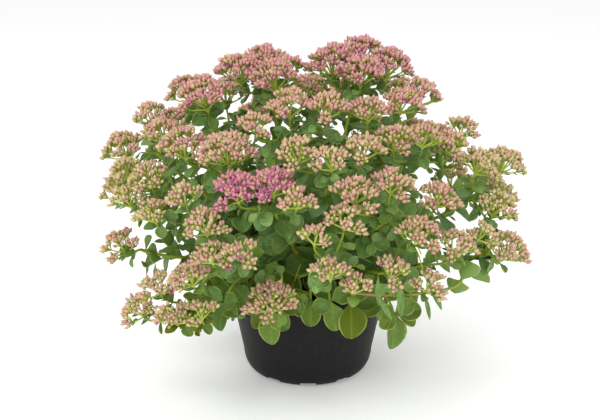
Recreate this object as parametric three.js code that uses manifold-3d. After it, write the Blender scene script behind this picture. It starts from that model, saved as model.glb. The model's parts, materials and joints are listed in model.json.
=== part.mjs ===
// Potted sedum in flower, in millimetres, +Z up, standing on z = 0 with the pot's axis on Z.
// A plain nursery pot holds potting mix and a low woody crown. Leafy stems grow from the crown,
// and each ends in a flower head: a cluster of domes of buds on thin branching stalks.
import * as THREE from "three";
import { mergeVertices } from "three/addons/utils/BufferGeometryUtils.js";
import Module from "manifold-3d";

const wasm = await Module();
wasm.setup();

const GAP = 0.3; // clearance between pieces that touch

// Pot
const POT_HEIGHT = 104;
const RIM_RADIUS = 86;
const RIM_BAND_HEIGHT = 11;
const RIM_BAND_STEP = 1.6; // how far the rim band stands out from the wall
const WALL = 1.5;
const WALL_LOW_RADIUS = 69; // outside radius where the rounded lower edge ends
const WALL_LOW_Z = 22;
const FOOT_OUTER_RADIUS = 57;
const FOOT_INNER_RADIUS = 46;
const FOOT_HEIGHT = 5;
const FOOT_COUNT = 10;
const FOOT_GAP_WIDTH = 15;
const FOOT_GAP_LENGTH = 30;
const FLOOR_TOP = 7;
const FLOOR_RADIUS = 55; // inside, where the floor turns up to the wall
const CORNER = 6;
const POT_SEGMENTS = 40;
const EDGE_STEPS = 5;

// Potting mix and crown
const MIX_TOP = 92;
const CROWN_RADIUS = 27;
const CROWN_HEIGHT = 19;
const CROWN_SEGMENTS = 20;
const CROWN_STEPS = 6;
const CROWN_SPREAD = 1.25; // a stem leaves the crown this much lower than its head leans out
const CROWN_TOP = 0.1; // least angle from the crown's top at which a stem leaves it
const CROWN_EDGE = 1.35; // and the largest

// Stems and stalks
const STEM_RADIUS = 2.1;
const STEM_SIDES = 5;
const STEM_STEPS = 8;
const STALK_RADIUS = 1.3; // the thin stalks inside a flower head
const NECK_RADIUS = 1.7;
const STALK_SIDES = 4;
const STALK_STEPS = 2;
const NECK_LENGTH = 6; // the piece of stem that belongs to the flower head, below its fork
const STALK_BEND = 0.4; // how straight a stalk runs up into its dome
const STALK_DEPTH = 0.1; // how far below a dome's middle its stalk ends, as part of its width
const FORK_DROP = 22; // least distance from the fork to the domes
const FORK_SPREAD = 0.35; // more distance for a head that spreads wide
const AIM = new THREE.Vector3(0, 0, 60); // stems point away from here
const FACE = new THREE.Vector3(0, 0, -250); // and the domes of a head face away from here
const ROOT_LENGTH = 4; // the straight start of a stem, square to the crown
const LIFT = 0.8; // how much a stem rises after that
const STEM_EASE = 0.36; // how long a stem keeps its first and last direction
const STEM_POINTS = 5;
const STEM_END = 14; // the straight end of a stem that takes a detour
// A shoot whose stem takes a detour, and the points it passes on its way.
const DETOURS = new Map([[20, [[41, -110, 124], [90, -112, 122], [139, -110, 130]]]]);

// Flower domes, as fractions of a dome's width
const DOME_PROFILE = [
  [0, -0.12],
  [0.5, 0.04],
  [0.36, 0.23],
  [0, 0.3],
];
const DOME_SEGMENTS = 7;

// Leaves, in opposite pairs, each pair a quarter turn from the one below
const LEAF_LENGTH_LOW = 42;
const LEAF_LENGTH_HIGH = 20;
const LEAF_WIDTH_RATIO = 0.78;
const LEAF_THICKNESS = 2.2;
const LEAF_SEGMENTS = 6;
const LEAF_STATIONS = [3, 5, 7]; // the steps along the stem that carry a pair
const LEAF_LIFT = 0.45; // how far a leaf leans towards the stem's tip
const LEAF_TURNS = [0, 0.35, -0.35, 0.7, -0.7]; // turns about the stem tried in order

// One row of domes for each shoot: x, y and z of the dome's middle, then its width.
// The front of the plant faces -Y.
const SHOOTS = [
  [[25, -42, 334, 52], [76, -35, 331, 46], [50, -66, 328, 40], [52, -5, 339, 46]],
  [[-66, -50, 329, 46], [-32, -72, 325, 44], [-42, -26, 334, 44], [-20, -46, 330, 26]],
  [[-98, -72, 309, 48], [-118, -34, 305, 40]],
  [[-158, -22, 278, 30], [-189, -5, 242, 44]],
  [[-118, -102, 268, 44], [-74, -134, 270, 48], [-140, -70, 272, 34]],
  [[-180, -48, 227, 34], [-152, -86, 232, 38], [-174, -76, 208, 32], [-146, -112, 204, 32]],
  [
    [-112, -148, 230, 28],
    [-92, -172, 212, 34],
    [-86, -184, 188, 28],
    [-60, -188, 192, 28],
    [-106, -172, 164, 34],
  ],
  [[-64, -164, 242, 40], [-32, -170, 248, 38], [-12, -186, 238, 26]],
  [[-186, -60, 157, 36]],
  [[-140, -140, 142, 32], [-160, -122, 113, 32], [-124, -158, 120, 30], [-98, -176, 130, 24]],
  [[-34, -164, 138, 44]],
  [[-18, -112, 306, 38], [17, -114, 304, 36], [-48, -126, 290, 26]],
  [[54, -108, 300, 34], [86, -88, 304, 34], [108, -48, 304, 38]],
  [[78, -124, 278, 36], [106, -108, 276, 34], [132, -88, 264, 32], [148, -58, 272, 28]],
  [[162, -84, 245, 36], [193, -46, 236, 38], [180, -88, 204, 36], [189, -62, 207, 28]],
  [[-10, -154, 272, 34], [20, -160, 266, 30], [48, -150, 274, 34]],
  [[40, -176, 243, 38], [72, -164, 247, 32], [116, -146, 230, 34], [96, -172, 205, 34]],
  [[30, -188, 222, 32], [4, -196, 208, 24], [18, -200, 178, 26], [40, -194, 162, 20]],
  [[132, -152, 186, 36], [158, -130, 190, 24], [72, -186, 174, 28], [106, -176, 158, 26]],
  [[188, -108, 168, 40]],
  [[0, 62, 290, 44], [-38, 84, 280, 40], [38, 88, 280, 40], [4, 18, 298, 38]],
  [[-88, 38, 290, 42], [-114, 72, 262, 42], [-138, 30, 262, 36], [-50, 24, 310, 38]],
  [[94, 42, 290, 42], [118, 70, 240, 42], [136, 28, 246, 36], [56, 38, 308, 36]],
  [[-158, 68, 222, 42], [-166, 100, 182, 40], [-194, 50, 196, 38], [-200, 8, 192, 32]],
  [[152, 70, 212, 42], [168, 100, 180, 40], [196, 44, 190, 38], [184, 4, 224, 34]],
  [[-62, 134, 246, 44], [-100, 142, 212, 42], [-112, 164, 150, 40]],
  [[22, 136, 252, 44], [68, 134, 240, 44], [110, 142, 206, 40], [112, 166, 150, 40]],
  [[0, 190, 190, 42], [-48, 186, 180, 38], [48, 186, 186, 38], [4, 198, 140, 36]],
];

const finish = {
  pot: { color: "#2b2c2a", roughness: 0.55 },
  mix: { color: "#3a2a1e", roughness: 0.95 },
  crown: { color: "#6f5a35", roughness: 0.8 },
  stem: { color: "#6b9154", roughness: 0.5 },
  head: { color: "#d98f93", roughness: 0.6 },
};

// A closed mesh as a solid: only positions are kept, and shared corners are merged.
function toSolid(geometry) {
  const bare = geometry.clone();
  bare.deleteAttribute("normal");
  bare.deleteAttribute("uv");
  const merged = mergeVertices(bare, 1e-4);
  const vertProperties = new Float32Array(merged.attributes.position.array);
  const triVerts = new Uint32Array(merged.index.array);
  return new wasm.Manifold(new wasm.Mesh({ numProp: 3, vertProperties, triVerts }));
}

function toMesh(name, solid, look) {
  const { vertProperties, triVerts } = solid.getMesh();
  const geometry = new THREE.BufferGeometry();
  geometry.setAttribute("position", new THREE.BufferAttribute(vertProperties, 3));
  geometry.setIndex(new THREE.BufferAttribute(triVerts, 1));
  geometry.computeVertexNormals();
  const mesh = new THREE.Mesh(geometry, new THREE.MeshStandardMaterial({ ...look, metalness: 0 }));
  mesh.name = name;
  return mesh;
}

// A solid of revolution about Z from [radius, z] points that start and end on the axis.
function turned(points, segments) {
  const profile = points.map(([radius, z]) => new THREE.Vector2(radius, z));
  return new THREE.LatheGeometry(profile, segments).rotateX(Math.PI / 2);
}

// A round bar of a few sides along a curve.
function bar(curve, radius, sides, steps) {
  const section = new THREE.Shape();
  for (let i = 0; i < sides; i += 1) {
    const angle = (2 * Math.PI * i) / sides;
    const corner = [radius * Math.cos(angle), radius * Math.sin(angle)];
    if (i === 0) section.moveTo(...corner);
    else section.lineTo(...corner);
  }
  return toSolid(new THREE.ExtrudeGeometry(section, { steps, extrudePath: curve }));
}

// Outside radius of the pot's wall, up to the rim band.
function wallRadius(z) {
  const top = RIM_RADIUS - RIM_BAND_STEP;
  const slope = (top - WALL_LOW_RADIUS) / (POT_HEIGHT - WALL_LOW_Z);
  return WALL_LOW_RADIUS + slope * (z - WALL_LOW_Z);
}

// The rounded lower edge as a quarter of an ellipse, from the foot up to the wall.
function lowerEdge() {
  return Array.from({ length: EDGE_STEPS + 1 }, (_, i) => {
    const angle = ((Math.PI / 2) * i) / EDGE_STEPS;
    const radius = FOOT_OUTER_RADIUS + (WALL_LOW_RADIUS - FOOT_OUTER_RADIUS) * Math.sin(angle);
    return [radius, WALL_LOW_Z * (1 - Math.cos(angle))];
  });
}

function makePot() {
  const bandFoot = POT_HEIGHT - RIM_BAND_HEIGHT;
  const outside = [
    [0, FOOT_HEIGHT],
    [FOOT_INNER_RADIUS, FOOT_HEIGHT],
    [FOOT_INNER_RADIUS + 1, 0],
    ...lowerEdge(),
    [wallRadius(bandFoot), bandFoot],
    [RIM_RADIUS, bandFoot + 1],
    [RIM_RADIUS, POT_HEIGHT],
  ];
  const inside = [
    [wallRadius(POT_HEIGHT) - WALL, POT_HEIGHT],
    [wallRadius(WALL_LOW_Z) - WALL, WALL_LOW_Z],
    [FLOOR_RADIUS + CORNER, FLOOR_TOP + CORNER],
    [FLOOR_RADIUS, FLOOR_TOP],
    [0, FLOOR_TOP],
  ];
  let pot = toSolid(turned([...outside, ...inside], POT_SEGMENTS));
  for (let i = 0; i < FOOT_COUNT; i += 1) {
    const gap = new THREE.BoxGeometry(FOOT_GAP_LENGTH, FOOT_GAP_WIDTH, 2 * FOOT_HEIGHT);
    gap.translate((FOOT_INNER_RADIUS + WALL_LOW_RADIUS) / 2, 0, 0);
    gap.rotateZ((2 * Math.PI * (i + 0.5)) / FOOT_COUNT);
    pot = pot.subtract(toSolid(gap));
  }
  return pot;
}

function makeMix() {
  const bottom = FLOOR_TOP + GAP;
  const inset = WALL + 2 * GAP;
  const points = [
    [0, bottom],
    [FLOOR_RADIUS - 2 * GAP, bottom],
    [FLOOR_RADIUS + CORNER - 2 * GAP, bottom + CORNER],
    [wallRadius(WALL_LOW_Z) - inset, WALL_LOW_Z],
    [wallRadius(MIX_TOP) - inset, MIX_TOP],
    [0, MIX_TOP],
  ];
  return toSolid(turned(points, POT_SEGMENTS));
}

function makeCrown() {
  const base = MIX_TOP + GAP;
  const points = [[0, base]];
  for (let i = 0; i < CROWN_STEPS; i += 1) {
    const angle = ((Math.PI / 2) * i) / CROWN_STEPS;
    points.push([CROWN_RADIUS * Math.cos(angle), base + CROWN_HEIGHT * Math.sin(angle)]);
  }
  points.push([0, base + CROWN_HEIGHT]);
  return toSolid(turned(points, CROWN_SEGMENTS));
}

// Where a shoot's stem leaves the crown, and which way it points there.
function crownSeat(towards) {
  const flat = Math.hypot(towards.x, towards.y);
  const round = Math.atan2(towards.y, towards.x);
  const lean = Math.atan2(flat, towards.z - AIM.z);
  const fromTop = Math.min(CROWN_EDGE, CROWN_SPREAD * lean + CROWN_TOP);
  const out = new THREE.Vector3(Math.cos(round), Math.sin(round), 0);
  const point = out.clone().multiplyScalar(CROWN_RADIUS * Math.sin(fromTop));
  point.z = MIX_TOP + GAP + CROWN_HEIGHT * Math.cos(fromTop);
  const normal = out.multiplyScalar(Math.sin(fromTop) / CROWN_RADIUS);
  normal.z = Math.cos(fromTop) / CROWN_HEIGHT;
  normal.normalize();
  return { point: point.addScaledVector(normal, GAP), normal };
}

function awayFrom(origin, point) {
  return point.clone().sub(origin).normalize();
}

// The points of a stem that takes no detour, from its root to its top.
function easyPath(root, rise, axis, top) {
  const reach = STEM_EASE * root.distanceTo(top);
  const arc = new THREE.CubicBezierCurve3(
    root,
    root.clone().addScaledVector(rise, reach),
    top.clone().addScaledVector(axis, -reach),
    top,
  );
  return arc.getPoints(STEM_POINTS);
}

// The lines that a shoot follows: its stem up to the neck, and its head from there.
function layOut(domes, index) {
  const middles = domes.map(([x, y, z]) => new THREE.Vector3(x, y, z));
  const centre = new THREE.Vector3();
  middles.forEach((middle) => centre.addScaledVector(middle, 1 / middles.length));
  const spread = Math.max(...middles.map((middle) => middle.distanceTo(centre)));
  const axis = awayFrom(AIM, centre);
  const fork = centre.clone().addScaledVector(axis, -FORK_DROP - FORK_SPREAD * spread);
  const neck = fork.clone().addScaledVector(axis, -NECK_LENGTH);
  const top = neck.clone().addScaledVector(axis, -GAP);
  const seat = crownSeat(fork);
  const rise = seat.normal.clone().add(new THREE.Vector3(0, 0, LIFT)).normalize();
  const root = seat.point.clone().addScaledVector(seat.normal, ROOT_LENGTH);
  const detour = DETOURS.get(index + 1)?.map(([x, y, z]) => new THREE.Vector3(x, y, z));
  const path = detour
    ? [root, ...detour, top.clone().addScaledVector(axis, -STEM_END), top]
    : easyPath(root, rise, axis, top);
  const stem = new THREE.CatmullRomCurve3([seat.point, ...path]);
  return { middles, axis, fork, neck, stem };
}

function makeHead(domes, lines) {
  const { middles, axis, fork, neck } = lines;
  const past = fork.clone().addScaledVector(axis, 1);
  let head = bar(new THREE.LineCurve3(neck, past), NECK_RADIUS, STALK_SIDES, 1);
  middles.forEach((middle, i) => {
    const width = domes[i][3];
    const up = awayFrom(FACE, middle);
    const base = middle.clone().addScaledVector(up, -STALK_DEPTH * width);
    const bend = base.clone().addScaledVector(up, -STALK_BEND * base.distanceTo(fork));
    const stalk = new THREE.QuadraticBezierCurve3(fork, bend, base);
    head = head.add(bar(stalk, STALK_RADIUS, STALK_SIDES, STALK_STEPS));
    const dome = turned(DOME_PROFILE.map(([r, z]) => [r * width, z * width]), DOME_SEGMENTS);
    dome.applyQuaternion(new THREE.Quaternion().setFromUnitVectors(new THREE.Vector3(0, 0, 1), up));
    dome.translate(middle.x, middle.y, middle.z);
    head = head.add(toSolid(dome));
  });
  return head;
}

// One leaf: a thin rounded blade whose base lies in the stem at the given point.
function makeLeaf(point, along, side, length) {
  const lean = side.clone().addScaledVector(along, LEAF_LIFT).normalize();
  const across = new THREE.Vector3().crossVectors(along, side).normalize();
  const face = new THREE.Vector3().crossVectors(lean, across).normalize();
  const blade = turned([[0, -0.5], [0.5, 0], [0, 0.5]], LEAF_SEGMENTS);
  blade.scale(length, length * LEAF_WIDTH_RATIO, LEAF_THICKNESS);
  blade.applyMatrix4(new THREE.Matrix4().makeBasis(lean, across, face));
  const middle = point.clone().addScaledVector(lean, length / 2 - 1);
  return toSolid(blade.translate(middle.x, middle.y, middle.z));
}

function isClear(solid, others) {
  return others.every((other) => solid.minGap(other, 2 * GAP) > GAP);
}

// Adds opposite pairs of leaves to a stem. Each pair is turned about the stem to the place
// where most of it clears every other piece, and a leaf that fits nowhere is left out.
function addLeaves(stem, curve, others) {
  let leafy = stem;
  const lower = [];
  LEAF_STATIONS.forEach((station, pair) => {
    const at = station / STEM_STEPS;
    const share = pair / (LEAF_STATIONS.length - 1);
    const length = LEAF_LENGTH_LOW + (LEAF_LENGTH_HIGH - LEAF_LENGTH_LOW) * share;
    const point = curve.getPointAt(at);
    const along = curve.getTangentAt(at);
    const level = new THREE.Vector3(0, 0, 1).cross(along).normalize();
    const choices = LEAF_TURNS.map((turn) => {
      const start = turn + (Math.PI / 2) * (pair % 2);
      const sides = [start, start + Math.PI].map((angle) => level.clone().applyAxisAngle(along, angle));
      const leaves = sides.map((side) => makeLeaf(point, along, side, length));
      return leaves.filter((leaf) => isClear(leaf, others) && isClear(leaf, lower));
    });
    const best = choices.reduce((most, choice) => (choice.length > most.length ? choice : most));
    best.forEach((leaf) => {
      leafy = leafy.add(leaf);
    });
    lower.push(...best);
  });
  return leafy;
}

const fixed = { pot: makePot(), potting_mix: makeMix(), crown: makeCrown() };
const lines = SHOOTS.map(layOut);
const heads = SHOOTS.map((domes, i) => makeHead(domes, lines[i]));
const stems = lines.map(({ stem }) => bar(stem, STEM_RADIUS, STEM_SIDES, STEM_STEPS));
stems.forEach((stem, i) => {
  const others = [...Object.values(fixed), ...heads, ...stems.filter((_, k) => k !== i)];
  stems[i] = addLeaves(stem, lines[i].stem, others);
});

const group = new THREE.Group();
group.add(toMesh("pot", fixed.pot, finish.pot));
group.add(toMesh("potting_mix", fixed.potting_mix, finish.mix));
group.add(toMesh("crown", fixed.crown, finish.crown));
SHOOTS.forEach((_, i) => {
  const number = String(i + 1).padStart(2, "0");
  group.add(toMesh(`stem_${number}`, stems[i], finish.stem));
  group.add(toMesh(`flower_head_${number}`, heads[i], finish.head));
});

export default group;
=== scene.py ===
# %% [markdown]
# # A potted sedum in flower
# The CAD model gives this plant its pot, its potting mix, its woody crown, its stems and its
# flower heads as plain solids. This lesson grows the fine plant around them: fleshy leaves in
# pairs, branching stalks, and thousands of small buds. Everything is in metres and in the CAD
# model's own frame, so each piece lands where its plain solid stands.

# %% Load the frame
import json

import bmesh
import bpy
import numpy as np
from mathutils import Matrix, Vector

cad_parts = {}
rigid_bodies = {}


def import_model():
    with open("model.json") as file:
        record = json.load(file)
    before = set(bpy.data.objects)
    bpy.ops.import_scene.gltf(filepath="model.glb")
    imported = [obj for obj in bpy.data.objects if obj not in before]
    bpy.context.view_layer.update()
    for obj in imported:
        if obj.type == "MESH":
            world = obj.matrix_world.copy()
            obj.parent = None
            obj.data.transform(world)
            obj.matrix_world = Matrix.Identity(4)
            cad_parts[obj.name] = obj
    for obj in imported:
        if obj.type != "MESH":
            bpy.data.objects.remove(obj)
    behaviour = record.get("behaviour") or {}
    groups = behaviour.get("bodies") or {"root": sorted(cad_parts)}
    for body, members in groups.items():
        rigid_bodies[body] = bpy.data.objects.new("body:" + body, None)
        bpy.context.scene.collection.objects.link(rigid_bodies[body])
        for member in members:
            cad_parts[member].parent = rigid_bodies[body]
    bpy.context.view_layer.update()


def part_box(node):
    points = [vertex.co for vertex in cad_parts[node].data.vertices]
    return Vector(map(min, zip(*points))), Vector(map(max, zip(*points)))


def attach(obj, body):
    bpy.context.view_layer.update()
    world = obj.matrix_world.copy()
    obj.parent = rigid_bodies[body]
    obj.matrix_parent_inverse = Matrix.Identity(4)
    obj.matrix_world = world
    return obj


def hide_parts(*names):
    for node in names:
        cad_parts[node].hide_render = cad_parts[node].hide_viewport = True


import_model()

# %% [markdown]
# ## The plan of the plant
# A flowering sedum is a bundle of shoots. Each shoot is one stem that ends in a flower head, and
# each head is a few domes of buds. The list below says where the middle of every dome is, in
# millimetres, and how wide it is, as the CAD model has it. The first number says how ripe the
# head is: near 0 its buds are green and cream, near 1 many have opened into pink stars. A fifth
# number on a dome gives that dome a ripeness of its own.

# %% Shoots
MM = 0.001
AIM = np.array([0.0, 0.0, 60.0])  # stems point away from here, in millimetres
FACE = np.array([0.0, 0.0, -250.0])  # and the domes face away from here
UP = np.array([0.0, 0.0, 1.0])
SHOOTS = [
    (0.70, [(25, -42, 334, 52), (76, -35, 331, 46), (50, -66, 328, 40), (52, -5, 339, 46)]),
    (0.66, [(-66, -50, 329, 46), (-32, -72, 325, 44), (-42, -26, 334, 44), (-20, -46, 330, 26)]),
    (0.63, [(-98, -72, 309, 48), (-118, -34, 305, 40)]),
    (0.45, [(-158, -22, 278, 30), (-189, -5, 242, 44)]),
    (0.52, [(-118, -102, 268, 44), (-74, -134, 270, 48), (-140, -70, 272, 34)]),
    (0.22, [(-180, -48, 227, 34), (-152, -86, 232, 38), (-174, -76, 208, 32), (-146, -112, 204, 32)]),
    (0.40, [(-112, -148, 230, 28), (-92, -172, 212, 34), (-86, -184, 188, 28), (-60, -188, 192, 28),
            (-106, -172, 164, 34)]),
    (0.95, [(-64, -164, 242, 40), (-32, -170, 248, 38), (-12, -186, 238, 26, 0.5)]),
    (0.42, [(-186, -60, 157, 36)]),
    (0.35, [(-140, -140, 142, 32), (-160, -122, 113, 32), (-124, -158, 120, 30), (-98, -176, 130, 24)]),
    (0.45, [(-34, -164, 138, 44)]),
    (0.52, [(-18, -112, 306, 38), (17, -114, 304, 36), (-48, -126, 290, 26)]),
    (0.55, [(54, -108, 300, 34), (86, -88, 304, 34), (108, -48, 304, 38)]),
    (0.48, [(78, -124, 278, 36), (106, -108, 276, 34), (132, -88, 264, 32), (148, -58, 272, 28)]),
    (0.20, [(162, -84, 245, 36), (193, -46, 236, 38), (180, -88, 204, 36), (189, -62, 207, 28)]),
    (0.38, [(-10, -154, 272, 34), (20, -160, 266, 30), (48, -150, 274, 34)]),
    (0.50, [(40, -176, 243, 38), (72, -164, 247, 32), (116, -146, 230, 34), (96, -172, 205, 34)]),
    (0.40, [(30, -188, 222, 32), (4, -196, 208, 24), (18, -200, 178, 26), (40, -194, 162, 20)]),
    (0.38, [(132, -152, 186, 36), (158, -130, 190, 24), (72, -186, 174, 28), (106, -176, 158, 26)]),
    (0.45, [(188, -108, 168, 40)]),
    (0.50, [(0, 62, 290, 44), (-38, 84, 280, 40), (38, 88, 280, 40), (4, 18, 298, 38)]),
    (0.55, [(-88, 38, 290, 42), (-114, 72, 262, 42), (-138, 30, 262, 36), (-50, 24, 310, 38)]),
    (0.45, [(94, 42, 290, 42), (118, 70, 240, 42), (136, 28, 246, 36), (56, 38, 308, 36)]),
    (0.35, [(-158, 68, 222, 42), (-166, 100, 182, 40), (-194, 50, 196, 38), (-200, 8, 192, 32)]),
    (0.30, [(152, 70, 212, 42), (168, 100, 180, 40), (196, 44, 190, 38), (184, 4, 224, 34)]),
    (0.75, [(-62, 134, 246, 44), (-100, 142, 212, 42), (-112, 164, 150, 40)]),
    (0.45, [(22, 136, 252, 44), (68, 134, 240, 44), (110, 142, 206, 40), (112, 166, 150, 40)]),
    (0.40, [(0, 190, 190, 42), (-48, 186, 180, 38), (48, 186, 186, 38), (4, 198, 140, 36)]),
]
print(len(SHOOTS), "shoots with", sum(len(domes) for _, domes in SHOOTS), "domes")

# %% [markdown]
# ## Lines and directions
# Stems and stalks are smooth lines, so a cubic Bezier curve with four points describes each one.
# The helpers below also give a line's direction, a direction square to it, and a smooth line
# through several points. They work on plain arrays, which is quick enough for thousands of
# stalks, where curve objects would be slow.

# %% Small helpers for lines
def unit(vector):
    return vector / np.linalg.norm(vector)


def bezier(a, b, c, d, steps):
    """Points along a cubic Bezier curve from a to d."""
    t = np.linspace(0.0, 1.0, steps + 1)[:, None]
    return (1 - t) ** 3 * a + 3 * (1 - t) ** 2 * t * b + 3 * (1 - t) * t * t * c + t**3 * d


def tangents(line):
    slope = np.gradient(line, axis=0)
    return slope / np.linalg.norm(slope, axis=1)[:, None]


def across(direction, turn):
    """A unit vector square to the direction, turned about it by an angle."""
    level = np.cross(UP, direction)
    level = unit(level) if np.linalg.norm(level) > 1e-3 else np.array([1.0, 0.0, 0.0])
    other = np.cross(direction, level)
    return np.cos(turn) * level + np.sin(turn) * other


def through(points, steps):
    """A smooth line through a few points, with a number of steps between each two."""
    points = [np.array(point, float) for point in points]
    slopes = np.gradient(np.array(points), axis=0)
    parts = [
        bezier(a, a + slope_a / 3, b - slope_b / 3, b, steps)[:-1]
        for a, b, slope_a, slope_b in zip(points, points[1:], slopes, slopes[1:])
    ]
    return np.concatenate([*parts, points[-1][None]])


def along_line(line, share):
    """The point and direction at a share of the line's points."""
    place = share * (len(line) - 1)
    low = min(int(place), len(line) - 2)
    part = place - low
    return line[low] * (1 - part) + line[low + 1] * part, tangents(line)[round(place)]


print("a curve from 0 to 1 in four steps:", bezier(0, 0, 1, 1, 4).ravel())

# %% [markdown]
# ## Where the stems run
# A stem leaves the woody crown square to its surface, bends upward and forks a little below the
# middle of its domes. The same rule as in the CAD model finds both ends, which keeps every leafy
# stem on its plain solid. One stem trails over the pot's rim, so it passes three more points.

# %% Stem lines
CROWN_RADIUS = 27.0
CROWN_HEIGHT = 19.0
MIX_TOP = 92.0
LOWEST_SEAT = 1.35  # the furthest from the crown's top that a stem leaves it, in radians
FORK_DROP = 22.0  # from the middle of the domes down to the fork
SPREAD_DROP = 0.35  # and this share of how far the domes spread
DETOURS = {20: [(41, -110, 124), (90, -112, 122), (139, -110, 130)]}  # points passed by a shoot's stem


def crown_seat(towards):
    """Where a stem leaves the crown, and the crown's outward direction there."""
    flat = np.hypot(towards[0], towards[1])
    lean = np.arctan2(flat, towards[2] - AIM[2])
    from_top = min(LOWEST_SEAT, 1.25 * lean + 0.1)
    out = np.array([towards[0], towards[1], 0.0]) / flat
    point = out * CROWN_RADIUS * np.sin(from_top) + UP * (MIX_TOP + CROWN_HEIGHT * np.cos(from_top))
    normal = unit(out * np.sin(from_top) / CROWN_RADIUS + UP * np.cos(from_top) / CROWN_HEIGHT)
    return point - normal, normal


def lay_out(number, domes):
    """A shoot's stem line up to its fork, and the fork."""
    middles = np.array([dome[:3] for dome in domes], float)
    centre = middles.mean(0)
    spread = np.linalg.norm(middles - centre, axis=1).max()
    axis = unit(centre - AIM)
    fork = centre - axis * (FORK_DROP + SPREAD_DROP * spread)
    seat, normal = crown_seat(fork)
    if number in DETOURS:
        return through([seat, seat + normal * 4, *DETOURS[number], fork - axis * 20, fork], 8), fork
    reach = 0.36 * np.linalg.norm(fork - seat)
    rise = unit(normal + 0.8 * UP)
    return bezier(seat, seat + normal * 4 + rise * reach, fork - axis * reach, fork, 36), fork


first_stem, _ = lay_out(1, SHOOTS[0][1])
print("the first stem runs from", first_stem[0].round(1), "to", first_stem[-1].round(1))

# %% [markdown]
# ## Helpers for Geometry Nodes
# All that repeats or follows a line on this plant comes from two Geometry Nodes trees. Building a
# tree in code takes the same few steps each time: add a node, fill its inputs, read an attribute
# of the points. At the end of a tree its copies become real geometry and get their finish,
# because the exported model keeps no live copies.

# %% Helpers that place objects and add nodes
def placed(name, data):
    """A new object in the scene, at the origin and unturned."""
    piece = bpy.data.objects.new(name, data)
    bpy.context.scene.collection.objects.link(piece)
    return piece


def add_node(tree, kind, values=None, **settings):
    """Adds a node, gives its settings and fills its inputs from sockets or plain values."""
    node = tree.nodes.new(kind)
    for name, value in settings.items():
        setattr(node, name, value)
    for socket, value in (values or {}).items():
        if isinstance(value, bpy.types.NodeSocket):
            tree.links.new(value, node.inputs[socket])
        else:
            node.inputs[socket].default_value = value
    return node


def new_geometry_tree(name, inputs):
    """A Geometry Nodes tree with a geometry in and out, and named inputs."""
    tree = bpy.data.node_groups.new(name, "GeometryNodeTree")
    tree.interface.new_socket("Geometry", in_out="INPUT", socket_type="NodeSocketGeometry")
    for label, kind, value in inputs:
        socket = tree.interface.new_socket(label, in_out="INPUT", socket_type=kind)
        if value is not None:
            socket.default_value = value
    tree.interface.new_socket("Geometry", in_out="OUTPUT", socket_type="NodeSocketGeometry")
    return tree, tree.nodes.new("NodeGroupInput").outputs


def named(tree, name, kind="FLOAT"):
    node = add_node(tree, "GeometryNodeInputNamedAttribute", {"Name": name}, data_type=kind)
    return node.outputs["Attribute"]


def finish_tree(tree, geometry, material):
    """Ends a tree: copies become real geometry, and the whole gets its material."""
    real = add_node(tree, "GeometryNodeRealizeInstances", {"Geometry": geometry})
    smooth = add_node(tree, "GeometryNodeSetShadeSmooth", {"Geometry": real.outputs[0]})
    dressed = add_node(
        tree, "GeometryNodeSetMaterial", {"Geometry": smooth.outputs[0], "Material": material}
    )
    add_node(tree, "NodeGroupOutput", {"Geometry": dressed.outputs[0]})
    return tree


print("the trees are built for Blender", bpy.app.version_string)

# %% [markdown]
# ## Running a tree
# A tree works as a modifier. This helper puts a mesh on a holder, gives the modifier its values
# by the identifiers of its sockets, lets Blender work it out once and keeps the result as a plain
# mesh. The holder and its modifier go again, so that no live modifier stays behind.

# %% Run a tree on a mesh
def grown(tree, mesh, values):
    """Runs a tree on a mesh, and returns what it makes as a plain mesh."""
    holder = placed("holder", mesh)
    modifier = holder.modifiers.new("grow", "NODES")
    modifier.node_group = tree
    for item in tree.interface.items_tree:
        if item.in_out == "INPUT" and item.name in values:
            modifier[item.identifier] = values[item.name]
    graph = bpy.context.evaluated_depsgraph_get()
    made = bpy.data.meshes.new_from_object(
        holder.evaluated_get(graph), preserve_all_data_layers=True, depsgraph=graph
    )
    bpy.data.objects.remove(holder)
    return made


# %% [markdown]
# ## Tubes along lines
# A plant has thousands of round stalks of every thickness. The tree turns a mesh of bare edges
# into curves and sweeps a small circle along them. Two attributes go with the points: thick
# scales the circle, and red says how red-brown the bark is there. A red below zero stands for the
# pale green of the stalks in a flower head. One tree serves the stems, the stalks in a head and
# the stalklets of the single buds.

# %% The tube tree
def make_tube_tree():
    tree, given = new_geometry_tree(
        "Tubes along edges",
        [("Sides", "NodeSocketInt", 6), ("Finish", "NodeSocketMaterial", None)],
    )
    curves = add_node(tree, "GeometryNodeMeshToCurve", {"Mesh": given["Geometry"]})
    circle = add_node(
        tree, "GeometryNodeCurvePrimitiveCircle", {"Resolution": given["Sides"], "Radius": 1.0}
    )
    tube = add_node(
        tree,
        "GeometryNodeCurveToMesh",
        {
            "Curve": curves.outputs[0],
            "Profile Curve": circle.outputs[0],
            "Scale": named(tree, "thick"),
            "Fill Caps": True,
        },
    )
    return finish_tree(tree, tube.outputs[0], given["Finish"])


tube_tree = make_tube_tree()


def strands_mesh(strands):
    """A mesh of bare edges from (points, thickness, redness) lines, in metres."""
    points = np.concatenate([line for line, _, _ in strands]) * MM
    edges = []
    start = 0
    for line, _, _ in strands:
        edges += [(start + i, start + i + 1) for i in range(len(line) - 1)]
        start += len(line)
    mesh = bpy.data.meshes.new("strands")
    mesh.from_pydata(points.tolist(), edges, [])
    for name, column, scale in (("thick", 1, MM), ("red", 2, 1.0)):
        values = np.concatenate([np.broadcast_to(strand[column], len(strand[0])) for strand in strands])
        layer = mesh.attributes.new(name, "FLOAT", "POINT")
        layer.data.foreach_set("value", values.astype(np.float32) * scale)
    return mesh


print("tube tree:", len(tube_tree.nodes), "nodes")

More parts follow.
